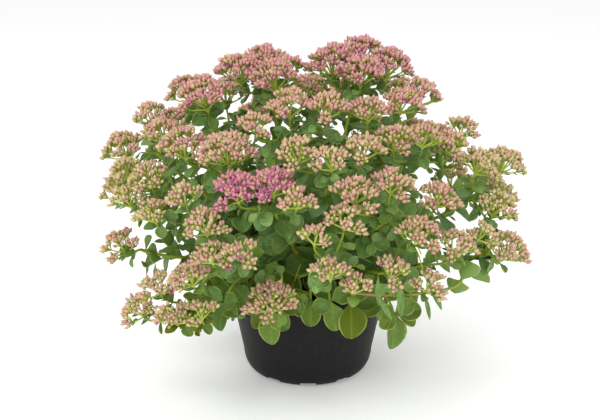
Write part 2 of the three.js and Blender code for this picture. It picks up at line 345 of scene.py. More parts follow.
# %% [markdown]
# ## Copies on points with Geometry Nodes
# Leaves, buds and flowers repeat by the hundred, but no two lie alike. Each kind has a few
# shapes in a collection. Python works out one point for each copy, with its turn, its size and
# which shape it takes as attributes, and one tree puts the shapes there. The points also carry
# tint and age, which the materials read later.

# %% The copies tree
def make_copies_tree():
    tree, given = new_geometry_tree(
        "Shapes on points",
        [
            ("Shapes", "NodeSocketCollection", None),
            ("Size", "NodeSocketFloat", 1.0),
            ("Finish", "NodeSocketMaterial", None),
        ],
    )
    shapes = add_node(
        tree,
        "GeometryNodeCollectionInfo",
        {"Collection": given["Shapes"], "Separate Children": True, "Reset Children": True},
    )
    points = add_node(tree, "GeometryNodeMeshToPoints", {"Mesh": given["Geometry"]})
    turn = add_node(tree, "FunctionNodeEulerToRotation", {"Euler": named(tree, "turn", "FLOAT_VECTOR")})
    size = add_node(
        tree, "ShaderNodeMath", {0: named(tree, "size"), 1: given["Size"]}, operation="MULTIPLY"
    )
    copies = add_node(
        tree,
        "GeometryNodeInstanceOnPoints",
        {
            "Points": points.outputs[0],
            "Instance": shapes.outputs[0],
            "Pick Instance": True,
            "Instance Index": named(tree, "pick", "INT"),
            "Rotation": turn.outputs[0],
            "Scale": size.outputs[0],
        },
    )
    return finish_tree(tree, copies.outputs[0], given["Finish"])


copies_tree = make_copies_tree()
print("copies tree:", len(copies_tree.nodes), "nodes")

# %% [markdown]
# ## Points for the copies
# Each copy is one point with its turn, its size, the shape it takes, its tint and its age. The
# turn is worked out from three axes: the copy's own X runs forward, and its Z faces as near as it
# can to a wanted side, which for most leaves is up.

# %% Points and turns
def copies_mesh(copies):
    """A mesh of bare points from (place, axes, size, pick, tint, age) rows, in metres."""
    mesh = bpy.data.meshes.new("points")
    mesh.from_pydata([(row[0] * MM).tolist() for row in copies], [], [])
    turns = [Matrix(np.array(row[1]).T.tolist()).to_euler() for row in copies]
    mesh.attributes.new("turn", "FLOAT_VECTOR", "POINT").data.foreach_set("vector", np.array(turns).ravel())
    mesh.attributes.new("pick", "INT", "POINT").data.foreach_set("value", [int(row[3]) for row in copies])
    for name, column, scale in (("size", 2, MM), ("tint", 4, 1.0), ("age", 5, 1.0)):
        values = [float(row[column]) * scale for row in copies]
        mesh.attributes.new(name, "FLOAT", "POINT").data.foreach_set("value", values)
    return mesh


def axes_for(forward, facing):
    """Three axes of a copy: the first runs forward, the last faces as near the other as it can."""
    first = unit(forward)
    last = facing - first * np.dot(facing, first)
    last = unit(last) if np.linalg.norm(last) > 1e-4 else across(first, 0.0)
    return first, np.cross(last, first), last


print("a copy that runs along X and faces up has the axes", axes_for(np.array([1.0, 0.0, 0.0]), UP))

# %% [markdown]
# ## Building a leaf
# The leaves are thick, rounded and a little cupped, with a faint middle rib and a thin pale edge.
# A leaf is modelled as a grid of rows from the stalk to the tip, and each row is as wide as the
# outline there. The underside is a second sheet that meets the first one at the edge, so the leaf
# is a closed, fleshy body. Three attributes say how near a point is to the edge and to the rib,
# and whether it is on the underside.

# %% Leaf builder
def finished_mesh(name, bm):
    """A mesh from a bmesh, with all faces pointing outward."""
    bmesh.ops.recalc_face_normals(bm, faces=bm.faces[:])
    mesh = bpy.data.meshes.new(name)
    bm.to_mesh(mesh)
    bm.free()
    return mesh


def outline(t, base, tip):
    """Half the width of a leaf at a share t of its length, at most 1."""
    round_part = np.sin(np.pi * np.clip(t, 0, 1) ** 1.05) ** tip
    foot = np.clip(t / 0.45, 0, 1)
    return round_part * (base + (1 - base) * foot * foot * (3 - 2 * foot))


def leaf_mesh(name, rows, columns, width, cup, droop, fold, tip=0.52, thick=0.05):
    """A closed leaf of length 1 along X, facing Z."""
    bm = bmesh.new()
    layers = {key: bm.verts.layers.float.new(key) for key in ("edge", "rib", "under")}

    def vertex(t, u, under):
        half = 0.5 * width * outline(t, 0.3, tip) if 0 < t < 1 else 0.0
        y = u * half
        z = cup * abs(u) ** 2 * half * 2 + fold * abs(y) - droop * t * t + 0.02 * np.sin(7 * t + 3 * u)
        if under:
            z -= thick * (1 - u * u) * np.sin(np.pi * min(1.0, max(0.0, t))) ** 0.5
        point = bm.verts.new((t, y, z))
        point[layers["edge"]] = max(abs(u), np.clip((t - 0.86) / 0.14, 0, 1))
        point[layers["rib"]] = 1.0 - min(1.0, abs(u) * 2.2)
        point[layers["under"]] = float(under)
        return point

    base, end = vertex(0, 0, False), vertex(1, 0, False)
    sheets = []
    for under in (False, True):
        grid = []
        for t in rows:
            first = sheets[0][len(grid)][0] if under else vertex(t, -1, False)
            last = sheets[0][len(grid)][-1] if under else vertex(t, 1, False)
            grid.append([first] + [vertex(t, u, under) for u in columns] + [last])
        sheets.append(grid)
    for grid, flip in zip(sheets, (False, True)):
        faces = [(low[i], high[i], high[i + 1], low[i + 1]) for low, high in zip(grid, grid[1:])
                 for i in range(len(low) - 1)]
        faces += [(base, grid[0][i], grid[0][i + 1]) for i in range(len(grid[0]) - 1)]
        faces += [(grid[-1][i], end, grid[-1][i + 1]) for i in range(len(grid[-1]) - 1)]
        for corners in faces:
            bm.faces.new(corners if flip else corners[::-1])
    return finished_mesh(name, bm)


print("a leaf's half width from stalk to tip:", outline(np.linspace(0, 1, 5), 0.3, 0.52).round(2))

# %% [markdown]
# ## Leaf shapes
# No two leaves of a plant are alike, but nine shapes are enough once their size, turn and tint
# differ as well. Large leaves take a fine grid and small ones a plain grid, which saves
# triangles. One shape is narrow and keeled, and the smallest is a bract.

# %% Leaf shapes
def shape_collection(name, meshes):
    """A collection of shapes for the copies tree. Blender sorts them by name."""
    collection = bpy.data.collections.new(name)
    for index, mesh in enumerate(meshes):
        collection.objects.link(bpy.data.objects.new(f"{name}_{index:02d}", mesh))
    return collection


FINE_ROWS = (0.03, 0.1, 0.22, 0.38, 0.55, 0.71, 0.84, 0.93, 0.98)
FINE_COLUMNS = (-0.88, -0.45, 0.0, 0.45, 0.88)
PLAIN_ROWS = (0.05, 0.18, 0.38, 0.6, 0.79, 0.91, 0.975)
PLAIN_COLUMNS = (-0.82, 0.0, 0.82)
BRACT_ROWS = (0.12, 0.45, 0.8)
leaf_shapes = shape_collection(
    "leaf_shape",
    [
        leaf_mesh("leaf_0", FINE_ROWS, FINE_COLUMNS, 0.76, 0.20, 0.10, 0.02),
        leaf_mesh("leaf_1", FINE_ROWS, FINE_COLUMNS, 0.86, 0.12, 0.18, -0.02),
        leaf_mesh("leaf_2", FINE_ROWS, FINE_COLUMNS, 0.80, 0.28, -0.08, 0.04),
        leaf_mesh("leaf_3", FINE_ROWS, FINE_COLUMNS, 0.68, 0.16, 0.25, 0.02),
        leaf_mesh("leaf_4", PLAIN_ROWS, PLAIN_COLUMNS, 0.78, 0.20, 0.08, 0.03),
        leaf_mesh("leaf_5", PLAIN_ROWS, PLAIN_COLUMNS, 0.88, 0.14, 0.14, 0.0),
        leaf_mesh("leaf_6", PLAIN_ROWS, PLAIN_COLUMNS, 0.66, 0.26, -0.05, 0.05),
        leaf_mesh("leaf_7", FINE_ROWS, FINE_COLUMNS, 0.17, 0.10, 0.05, 0.10, tip=0.8, thick=0.02),
        leaf_mesh("leaf_8", BRACT_ROWS, (0.0,), 0.6, 0.10, 0.1, 0.1, tip=0.8, thick=0.08),
    ],
)
FINE_LEAVES = (0, 1, 2, 3)
PLAIN_LEAVES = (4, 5, 6)
NARROW_LEAF = 7
BRACT = 8

# %% [markdown]
# ## Buds
# A closed bud is a small pointed egg of five petals, so its section is a star with five ribs:
# every second point of a ring stands out a little, and the others lie in a seam. The plant has
# thousands of buds, so each one has only two rings and a few dozen faces.

# %% Bud builder
BUD_RINGS = (0.24, 0.68)
BUD_SIDES = 10


def bud_mesh(name, fullness, rib, open_by=0.0):
    """A bud of length 1 along X, with along and seam attributes."""
    bm = bmesh.new()
    along = bm.verts.layers.float.new("along")
    seam = bm.verts.layers.float.new("seam")

    def vertex(x, radius, angle, at_seam):
        point = bm.verts.new((x, radius * np.cos(angle), radius * np.sin(angle)))
        point[along] = x
        point[seam] = at_seam
        return point

    foot, top = vertex(0, 0, 0, 0.5), vertex(1 - 0.3 * open_by, 0, 0, 0.5)
    rings = []
    for x in BUD_RINGS:
        radius = fullness * np.sin(np.pi * (0.14 + 0.8 * x) ** 0.85) * (1 + open_by * max(0, x - 0.4))
        ring = []
        for k in range(BUD_SIDES):
            is_rib = k % 2 == 0
            spread = radius * (1 + rib if is_rib else 1 - rib)
            lift = 0.12 * open_by if is_rib and x > 0.6 else 0.0
            ring.append(vertex(x + lift, spread, 2 * np.pi * k / BUD_SIDES, 0.0 if is_rib else 1.0))
        rings.append(ring)
    for k in range(BUD_SIDES):
        n = (k + 1) % BUD_SIDES
        bm.faces.new((foot, rings[0][n], rings[0][k]))
        bm.faces.new((rings[-1][k], rings[-1][n], top))
        for low, high in zip(rings, rings[1:]):
            bm.faces.new((low[k], low[n], high[n], high[k]))
    return finished_mesh(name, bm)


bud_shapes = shape_collection(
    "bud_shape",
    [
        bud_mesh("bud_0", 0.29, 0.08),
        bud_mesh("bud_1", 0.325, 0.10),
        bud_mesh("bud_2", 0.26, 0.07),
        bud_mesh("bud_3", 0.31, 0.16, open_by=0.8),
    ],
)

# %% [markdown]
# ## Open flowers
# An open flower is a star of five pointed petals around five upright carpels. Each petal is a
# slim keeled boat of three rows and a tip, and each carpel is a small pyramid. The block below is
# built five times around the flower's axis, which needs no modifier.

# %% Open flower builder
FORWARD = np.array([1.0, 0.0, 0.0])
PETAL_ROWS = ((0.0, 0.05), (0.4, 0.12), (0.75, 0.09))  # share of its length, and half its width there


def flower_mesh(name, spread, lift):
    """An open flower one unit across, facing X. along is 1 on the petals and 0 in the middle."""
    bm = bmesh.new()
    along = bm.verts.layers.float.new("along")
    seam = bm.verts.layers.float.new("seam")

    def vertex(place, on_petal, at_seam):
        point = bm.verts.new(place)
        point[along] = on_petal
        point[seam] = at_seam
        return point

    for k in range(5):
        turn = 2 * np.pi * k / 5
        out = np.array([0, np.cos(turn), np.sin(turn)])
        side = np.array([0, -np.sin(turn), np.cos(turn)])
        rows = []
        for t, half in PETAL_ROWS:
            centre = out * spread * t + FORWARD * lift * t * t
            keel = centre - FORWARD * 0.04
            places = (centre - side * half, keel, centre + side * half, keel - FORWARD * 0.03)
            seams = (1.0, 0.0, 1.0, 0.0)
            rows.append([vertex(place, 0.4 + 0.6 * t, at_seam) for place, at_seam in zip(places, seams)])
        tip = vertex(out * spread + FORWARD * lift, 1.0, 0.5)
        for low, high in zip(rows, rows[1:]):
            for i in range(4):
                j = (i + 1) % 4
                bm.faces.new((low[i], low[j], high[j], high[i]))
        for i in range(4):
            bm.faces.new((rows[-1][i], rows[-1][(i + 1) % 4], tip))
        bm.faces.new(rows[0][::-1])
        foot = [vertex(out * 0.06 + step * 0.045, 0.0, 0.0) for step in (out, side, -out, -side)]
        peak = vertex(out * 0.13 + FORWARD * 0.2, 0.2, 0.0)
        for i in range(4):
            bm.faces.new((foot[i], foot[(i + 1) % 4], peak))
        bm.faces.new(foot[::-1])
    return finished_mesh(name, bm)


flower_shapes = shape_collection(
    "flower_shape",
    [flower_mesh("flower_0", 0.46, 0.28), flower_mesh("flower_1", 0.36, 0.42)],
)

# %% [markdown]
# ## Helpers for finishes
# Each finish is a small shader tree that feeds one Principled shader, and the same steps come
# back in all of them: read an attribute of the piece, mix two colours, map a range, place a node
# group, add a bump. A value that is the same all over a piece goes on the shader's own socket.

# %% Helpers for shader trees
def start_material(name, **plain):
    """A material with a Principled shader whose plain values are set on its own sockets."""
    material = bpy.data.materials.new(name)
    material.use_nodes = True
    tree = material.node_tree
    shader = next(node for node in tree.nodes if node.type == "BSDF_PRINCIPLED")
    for socket, value in plain.items():
        shader.inputs[socket.replace("_", " ")].default_value = value
    return material, tree, shader


def attribute(tree, name):
    return add_node(tree, "ShaderNodeAttribute", attribute_name=name).outputs["Fac"]


def mix(tree, share, a, b):
    """A colour between a and b. Each may be a colour or a socket."""
    node = add_node(tree, "ShaderNodeMix", data_type="RGBA")
    for socket, value in ((node.inputs[0], share), (node.inputs[6], a), (node.inputs[7], b)):
        if isinstance(value, bpy.types.NodeSocket):
            tree.links.new(value, socket)
        else:
            socket.default_value = (*value, 1.0) if isinstance(value, tuple) else value
    return node.outputs[2]


def ramp(tree, value, low, high, from_low=0.0, from_high=1.0):
    """Maps a value from one range to another, smoothly and clamped."""
    node = add_node(
        tree,
        "ShaderNodeMapRange",
        {"Value": value, "From Min": from_low, "From Max": from_high, "To Min": low, "To Max": high},
        interpolation_type="SMOOTHSTEP",
    )
    return node.outputs[0]


def grouped(tree, group, **values):
    node = add_node(tree, "ShaderNodeGroup", node_tree=group)
    for label, value in values.items():
        node.inputs[label].default_value = value
    return node.outputs[0]


def bumped(tree, shader, height, strength, distance):
    bump = add_node(
        tree, "ShaderNodeBump", {"Height": height, "Strength": strength, "Distance": distance}
    )
    tree.links.new(bump.outputs[0], shader.inputs["Normal"])


# %% [markdown]
# ## Patches and fine grain
# Several finishes use the same two effects, so these are node groups with named inputs. Patches
# gives soft blotches from noise of two sizes, for the bloom on a leaf, the dust on the pot and
# the colours of the potting mix. Fine grain gives the height for a bump. Both read Object
# coordinates, which stay fixed to the plant in every view.

# %% Node groups
def shader_group(name, inputs, outputs):
    tree = bpy.data.node_groups.new(name, "ShaderNodeTree")
    for label, value in inputs:
        socket = tree.interface.new_socket(label, in_out="INPUT", socket_type="NodeSocketFloat")
        socket.default_value = value
    for label in outputs:
        tree.interface.new_socket(label, in_out="OUTPUT", socket_type="NodeSocketFloat")
    return tree, tree.nodes.new("NodeGroupInput").outputs, tree.nodes.new("NodeGroupOutput").inputs


def make_patches_group():
    """Soft blotches: noise of two sizes in the object's own coordinates."""
    tree, given, out = shader_group("Patches", [("Scale", 60.0), ("Contrast", 2.0)], ["Mask"])
    place = tree.nodes.new("ShaderNodeTexCoord").outputs["Object"]
    fine_scale = add_node(tree, "ShaderNodeMath", {0: given["Scale"], 1: 4.7}, operation="MULTIPLY")
    large = add_node(tree, "ShaderNodeTexNoise", {"Vector": place, "Scale": given["Scale"], "Detail": 3.0})
    fine = add_node(
        tree, "ShaderNodeTexNoise", {"Vector": place, "Scale": fine_scale.outputs[0], "Detail": 4.0}
    )
    both = add_node(tree, "ShaderNodeMath", {0: large.outputs[0], 1: fine.outputs[0]}, operation="ADD")
    centred = add_node(tree, "ShaderNodeMath", {0: both.outputs[0], 1: -1.0}, operation="ADD")
    strong = add_node(
        tree,
        "ShaderNodeMath",
        {0: centred.outputs[0], 1: given["Contrast"], 2: 0.5},
        operation="MULTIPLY_ADD",
        use_clamp=True,
    )
    tree.links.new(strong.outputs[0], out["Mask"])
    return tree


def make_grain_group():
    """The height of a fine bump, from noise."""
    tree, given, out = shader_group("Fine grain", [("Scale", 900.0), ("Roughness", 0.6)], ["Height"])
    place = tree.nodes.new("ShaderNodeTexCoord").outputs["Object"]
    noise = add_node(
        tree,
        "ShaderNodeTexNoise",
        {"Vector": place, "Scale": given["Scale"], "Detail": 5.0, "Roughness": given["Roughness"]},
    )
    tree.links.new(noise.outputs[0], out["Height"])
    return tree


patches_group = make_patches_group()
grain_group = make_grain_group()
print("group nodes:", len(patches_group.nodes), "and", len(grain_group.nodes))

# %% [markdown]
# ## Leaf finish
# The leaves are waxy. High on the plant they are blue-green with a pale bloom in patches, and low
# down they are darker and yellow-green. Their edge and rib are paler. A picture of a leaf could
# give this, but attributes follow the shape of every leaf and stay sharp close up. The colours
# are linear light: red, green and blue.

# %% Leaf finish
BLUE_GREEN = (0.105, 0.225, 0.065)
MID_GREEN = (0.165, 0.29, 0.028)
BLOOM = (0.27, 0.42, 0.20)
LOW_GREEN = (0.092, 0.168, 0.005)
OLIVE = (0.12, 0.152, 0.002)
PALE_EDGE = (0.42, 0.55, 0.11)
UNDER_GREEN = (0.17, 0.29, 0.06)


def make_leaf_material():
    """Waxy fleshy leaf: blue-green high up, yellow-green low down, with a bloom and a pale edge."""
    material, tree, shader = start_material(
        "sedum_leaf", Subsurface_Weight=0.08, Subsurface_Scale=0.002, Specular_IOR_Level=0.18
    )
    tint, age = attribute(tree, "tint"), attribute(tree, "age")
    high = mix(tree, tint, BLUE_GREEN, MID_GREEN)
    low = mix(tree, tint, LOW_GREEN, OLIVE)
    green = mix(tree, age, high, low)
    blotch = grouped(tree, patches_group, Scale=70.0, Contrast=2.4)
    bloom_share = ramp(tree, blotch, 0.0, 0.45)
    fresh = add_node(tree, "ShaderNodeMath", {0: 1.0, 1: age}, operation="SUBTRACT").outputs[0]
    fresh_bloom = add_node(tree, "ShaderNodeMath", {0: bloom_share, 1: fresh}, operation="MULTIPLY")
    face = mix(tree, fresh_bloom.outputs[0], green, BLOOM)
    rib = ramp(tree, attribute(tree, "rib"), 0.0, 0.14, 0.6, 1.0)
    face = mix(tree, rib, face, PALE_EDGE)
    face = mix(tree, ramp(tree, attribute(tree, "under"), 0.0, 0.7, 0.2, 0.9), face, UNDER_GREEN)
    rim = ramp(tree, attribute(tree, "edge"), 0.0, 0.85, 0.84, 0.98)
    tree.links.new(mix(tree, rim, face, PALE_EDGE), shader.inputs["Base Color"])
    tree.links.new(ramp(tree, blotch, 0.42, 0.62), shader.inputs["Roughness"])
    bumped(tree, shader, grouped(tree, grain_group, Scale=700.0, Roughness=0.6), 0.25, 0.0003)
    return material


leaf_finish = make_leaf_material()
print("leaf finish:", len(leaf_finish.node_tree.nodes), "nodes")

# %% [markdown]
# ## Stem finish
# Young stems are yellow-green with soft patches, and old bark near the crown is red-brown. The
# red attribute changes along each strand, so one finish serves everything from the thick stems to
# the pale stalks in a flower head.

# %% Stem finish
YOUNG_STEM = (0.34, 0.42, 0.02)
HEAD_STALK = (0.52, 0.60, 0.10)
OLD_STEM = (0.33, 0.16, 0.09)


def make_stem_material():
    """Stems: yellow-green when young, with red-brown where the red attribute says so."""
    material, tree, shader = start_material("sedum_stem", Specular_IOR_Level=0.4)
    blotch = grouped(tree, patches_group, Scale=140.0, Contrast=2.0)
    young = mix(tree, ramp(tree, blotch, 0.0, 0.6), YOUNG_STEM, MID_GREEN)
    red = attribute(tree, "red")
    young = mix(tree, ramp(tree, red, 0.9, 0.0, -0.9, -0.1), young, HEAD_STALK)
    shade = mix(tree, ramp(tree, red, 0.0, 1.0, 0.1, 0.9), young, OLD_STEM)
    tree.links.new(shade, shader.inputs["Base Color"])
    tree.links.new(ramp(tree, blotch, 0.4, 0.6), shader.inputs["Roughness"])
    bumped(tree, shader, grouped(tree, grain_group, Scale=1200.0, Roughness=0.5), 0.2, 0.0002)
    return material


stem_finish = make_stem_material()
print("stem finish:", len(stem_finish.node_tree.nodes), "nodes")

# %% [markdown]
# ## Bud finish
# Buds start green, turn cream and blush to rose from the tip down, while the seams between their
# petals stay pale. How ripe a bud is comes with its copy as its tint, and how pink it is as its
# age, so one finish serves every bud.

# %% Bud finish
BUD_GREEN = (0.33, 0.42, 0.05)
BUD_YOUNG = (0.44, 0.50, 0.11)
BUD_CREAM = (0.69, 0.62, 0.32)
BUD_PEACH = (0.53, 0.36, 0.20)
BUD_ROSE = (0.46, 0.15, 0.19)
BUD_TIP = (0.49, 0.145, 0.235)
PETAL_PINK = (0.61, 0.10, 0.32)


def make_bud_material():
    """Buds: green at the foot, cream to rose above it by their tint, and pink by their age."""
    material, tree, shader = start_material(
        "sedum_bud", Subsurface_Weight=0.12, Subsurface_Scale=0.0015, Specular_IOR_Level=0.35
    )
    tint, along, seam, age = (attribute(tree, name) for name in ("tint", "along", "seam", "age"))
    cream = mix(tree, ramp(tree, tint, 0.0, 1.0, 0.05, 0.55), BUD_CREAM, BUD_PEACH)
    body = mix(tree, ramp(tree, tint, 0.0, 1.0, 0.35, 0.95), cream, BUD_ROSE)
    tip_share = ramp(tree, along, 0.0, 0.75, 0.55, 1.0)
    body = mix(tree, tip_share, body, BUD_TIP)
    body = mix(tree, age, body, PETAL_PINK)
    seam_share = ramp(tree, seam, 0.0, 0.75, 0.35, 0.95)
    body = mix(tree, seam_share, body, BUD_CREAM)
    body = mix(tree, ramp(tree, tint, 1.0, 0.0, 0.03, 0.2), body, BUD_YOUNG)
    foot_share = ramp(tree, along, 1.0, 0.0, 0.1, 0.6)
    shade = mix(tree, foot_share, body, BUD_GREEN)
    blotch = grouped(tree, patches_group, Scale=300.0, Contrast=1.5)
    shade = mix(tree, ramp(tree, blotch, 0.0, 0.18), shade, BUD_ROSE)
    tree.links.new(shade, shader.inputs["Base Color"])
    tree.links.new(ramp(tree, blotch, 0.45, 0.6), shader.inputs["Roughness"])
    return material


bud_finish = make_bud_material()
print("bud finish:", len(bud_finish.node_tree.nodes), "nodes")

# %% [markdown]
# ## Petal finish
# Open petals are bright pink. Their edges and some soft patches are paler, and the carpels in the
# middle are darker, which the along attribute tells apart.

# %% Petal finish
PETAL_PALE = (0.68, 0.36, 0.42)
HEART_PINK = (0.40, 0.05, 0.15)


def make_petal_material():
    """Open petals: bright pink with paler edges, and a darker heart."""
    material, tree, shader = start_material(
        "sedum_petal", Subsurface_Weight=0.15, Subsurface_Scale=0.0015, Specular_IOR_Level=0.3
    )
    along, seam = attribute(tree, "along"), attribute(tree, "seam")
    blotch = grouped(tree, patches_group, Scale=250.0, Contrast=1.8)
    petal = mix(tree, ramp(tree, seam, 0.0, 0.55), PETAL_PINK, PETAL_PALE)
    petal = mix(tree, ramp(tree, blotch, 0.0, 0.4), petal, PETAL_PALE)
    shade = mix(tree, ramp(tree, along, 0.0, 1.0, 0.05, 0.4), HEART_PINK, petal)
    tree.links.new(shade, shader.inputs["Base Color"])
    tree.links.new(ramp(tree, blotch, 0.45, 0.6), shader.inputs["Roughness"])
    return material


petal_finish = make_petal_material()
print("petal finish:", len(petal_finish.node_tree.nodes), "nodes")

# %% [markdown]
# ## Room for the leaves
# Leaves must not cut into the pot, the potting mix or the flower heads, and two leaves should not
# fill the same place. Sums on a few sample points are enough for that: the pot is a sloping wall,
# each dome is a flat round cap, and a list keeps the middle and the size of every leaf so far.

# %% What keeps clear of what
POT_RIM_RADIUS = 86.0
POT_TOP = 104.0
WALL_SLOPE = 0.188
WALL_INSIDE = 80.0
WALL_CLEARANCE = 2.5
TOP_CLEARANCE = 1.5
CROWDING = 0.2  # the share of two leaves' lengths that their middles stay apart
ALL_DOMES = [(np.array(dome[:3], float), dome[3]) for _, domes in SHOOTS for dome in domes]
DOME_CENTRES = np.array([centre for centre, _ in ALL_DOMES])
DOME_WIDTHS = np.array([width for _, width in ALL_DOMES], float)
DOME_AXES = np.array([unit(centre - FACE) for centre in DOME_CENTRES])
leaf_places = []


def meets_pot(points):
    """True if a point lies in the pot's wall or under the potting mix's top."""
    flat = np.hypot(points[:, 0], points[:, 1])
    height = points[:, 2]
    wall = POT_RIM_RADIUS - 1.0 - WALL_SLOPE * (POT_TOP - np.minimum(height, POT_TOP))
    outside = flat > wall + WALL_CLEARANCE
    inside = (flat < WALL_INSIDE) & (height > MIX_TOP + TOP_CLEARANCE)
    above = height > POT_TOP + TOP_CLEARANCE
    return not np.all(outside | inside | above)


def meets_dome(points):
    """True if a point lies inside a flower dome."""
    offset = points[:, None, :] - DOME_CENTRES[None]
    height = np.einsum("pdk,dk->pd", offset, DOME_AXES)
    flat = np.sqrt(np.maximum(0, np.einsum("pdk,pdk->pd", offset, offset) - height**2))
    within = flat < 0.5 * DOME_WIDTHS
    level = (height > -0.16 * DOME_WIDTHS) & (height < 0.4 * DOME_WIDTHS)
    return bool(np.any(within & level))


def crowded(middle, size):
    """True if another leaf's middle is very near."""
    if not leaf_places:
        return False
    placed = np.array(leaf_places)
    gaps = np.linalg.norm(placed[:, :3] - middle, axis=1)
    return bool(np.any(gaps < CROWDING * (placed[:, 3] + size)))


print("domes to keep clear of:", len(DOME_CENTRES), "widths", DOME_WIDTHS.min(), "to", DOME_WIDTHS.max())

# %% [markdown]
# ## What stays in view
# Two places show well from the front: the large leaves in the middle over the rim, and the
# reddish stem that trails to the right. A leaf that would stand between one of them and the
# viewer is left out. A line of sight is straight, so the test measures how far the leaf's middle
# lies from it.

# %% Lines of sight
VIEWER = np.array([-8.3, -1013.7, 481.9])
LEAVES_IN_VIEW = (((-8, -66, 145), 14.0), ((-17, -80, 122), 12.0))
TRAILING_SHOOT = 20
trailing_line, _ = lay_out(TRAILING_SHOOT, SHOOTS[TRAILING_SHOOT - 1][1])
IN_VIEW = [(np.array(point, float), radius) for point, radius in LEAVES_IN_VIEW]
IN_VIEW += [(point, 1.0) for point in trailing_line[10:32:2]]
print(len(IN_VIEW), "points stay in view")


def hides(middle, size):
    """True if a leaf would hide one of the points that stay in view from the front."""
    for point, radius in IN_VIEW:
        sight = unit(VIEWER - point)
        offset = middle - point
        ahead = np.dot(offset, sight)
        if ahead > 4 and np.linalg.norm(offset - ahead * sight) < radius + 0.3 * size:
            return True
    return False


# %% [markdown]
# ## Pairs of leaves
# A sedum stem carries its leaves in opposite pairs. Each function from here on adds rows to a
# basket, which holds one list for each kind of thing, and the trees above turn the baskets into
# meshes at the end. Leaves high on the plant are young and blue-green, and those near the pot's
# rim are old and yellow-green, so a leaf's age follows its height.

# %% Leaves
LEAF_SAMPLES = np.array([[0.5, 0.35], [0.5, -0.35], [0.75, 0.3], [0.75, -0.3], [1.0, 0.0], [0.25, 0.0]])
FINE_FROM = 19  # leaves longer than this take a finely made shape
YOUNG_ABOVE = 150.0
AGE_SPAN = 45.0  # a leaf that sits this much lower is old


def leaf_age(point, rng):
    """0 for a leaf high on the plant, 1 for one near the pot's rim."""
    return float(np.clip((YOUNG_ABOVE - point[2]) / AGE_SPAN + rng.normal(0, 0.12), 0, 1))


def add_leaf(basket, point, forward, facing, size, rng, pick=None, age=None, force=False):
    """One leaf from a point on a stem, left out if it would cut into the pot or a flower head.

    A forced leaf may also crowd others and stand in a line of sight.
    """
    axes = axes_for(forward, facing)
    samples = point + size * (LEAF_SAMPLES[:, :1] * axes[0] + LEAF_SAMPLES[:, 1:] * axes[1])
    middle = point + 0.5 * size * axes[0]
    if meets_pot(samples) or meets_dome(samples[:5]):
        return
    if not force and (crowded(middle, size) or hides(middle, size)):
        return
    leaf_places.append((*middle, size))
    if pick is None:
        pick = rng.choice(FINE_LEAVES if size > FINE_FROM else PLAIN_LEAVES)
    tone = float(np.clip(rng.normal(0.45, 0.25), 0, 1))
    if age is None:
        age = leaf_age(point, rng)
    basket["leaves"].append((point, axes, size, pick, tone, age))


def add_pair(basket, point, direction, turn, size, rng, lift=0.35, upward=0.5):
    """An opposite pair of leaves."""
    for half in (0.0, np.pi):
        side = across(direction, turn + half + rng.normal(0, 0.12))
        forward = unit(side + direction * (lift + rng.normal(0, 0.12)) - UP * 0.12)
        facing = unit(direction + UP * upward + rng.normal(0, 0.15, 3))
        add_leaf(basket, point, forward, facing, size * rng.uniform(0.85, 1.12), rng)


print("a leaf 120 mm up has the age", round(leaf_age(120 * UP, np.random.default_rng(0)), 2))

# %% [markdown]
# ## Side shoots
# Short leafy shoots without flowers sit in many of the leaf corners, and they make the plant
# dense inside. Each one bends out of its corner and carries three pairs of leaves that get
# smaller towards its end.

# %% Side shoots
SIDE_PAIRS = (0.4, 0.7, 1.0)  # shares along a side shoot


def add_side_shoot(basket, point, direction, length, size, rng, turn):
    """A short leafy shoot out of a leaf corner, with no flowers."""
    out = unit(across(direction, turn) + direction * 0.9 + UP * 0.35)
    end = point + out * length
    line = bezier(point, point + direction * length * 0.3, end - out * length * 0.3, end, 6)
    basket["strands"].append((line, np.linspace(1.1, 0.7, len(line)), 0.1))
    first = rng.uniform(0, np.pi)
    for k, share in enumerate(SIDE_PAIRS):
        spot, way = along_line(line, share)
        add_pair(basket, spot, way, first + k * np.pi / 2, size * (1.0 - 0.2 * k), rng, lift=0.5)


print("pairs of leaves on a side shoot:", len(SIDE_PAIRS))

# %% [markdown]
# ## Stems
# Each pair of leaves stands about a quarter turn from the pair below, and the stem is a little
# swollen at each joint. The leaves are largest below the middle of the stem and smallest under
# the flower head. The trailing stem has lost its lower leaves, and it is thinner and redder.

# %% Stems
JOINT_SPACING = 14
FIRST_JOINT, LAST_JOINT = 0.18, 0.97  # shares along the stem
TRAILING_FIRST_JOINT = 0.68
LEAF_LENGTHS = ((0.2, 0.4, 0.65, 0.9, 1.0), (28, 35, 30, 22, 17))  # shares, and the length at each
JOINT_SWELLING = 0.4
SIDE_SHOOTS_FROM = 0.36
SIDE_SHOOT_CHANCE = 0.85


def add_stem(basket, line, rng, trailing):
    """A stem with its swollen joints, its leaf pairs and its side shoots."""
    length = np.linalg.norm(np.diff(line, axis=0), axis=1).sum()
    count = int(length / JOINT_SPACING)
    first = rng.uniform(0, np.pi)
    thick = np.linspace(2.5, 1.5, len(line)) * (0.75 if trailing else 1.0)
    red = np.clip(np.linspace(1.0 if trailing else 0.75, -0.05, len(line)), 0, 1)
    for share in np.linspace(FIRST_JOINT, LAST_JOINT, count):
        if trailing and share < TRAILING_FIRST_JOINT:
            continue
        point, direction = along_line(line, share)
        turn = first + round(share * count) * (np.pi / 2 + 0.1)
        add_pair(basket, point, direction, turn, np.interp(share, *LEAF_LENGTHS), rng)
        if share > SIDE_SHOOTS_FROM and rng.random() < SIDE_SHOOT_CHANCE:
            reach, size = rng.uniform(18, 36), rng.uniform(15, 22)
            add_side_shoot(basket, point, direction, reach, size, rng, turn + 0.3)
        thick[min(len(thick) - 1, round(share * (len(line) - 1)))] += JOINT_SWELLING
    basket["strands"].append((line, thick, red))


print("leaves half way up a stem are about", np.interp(0.5, *LEAF_LENGTHS), "mm long")

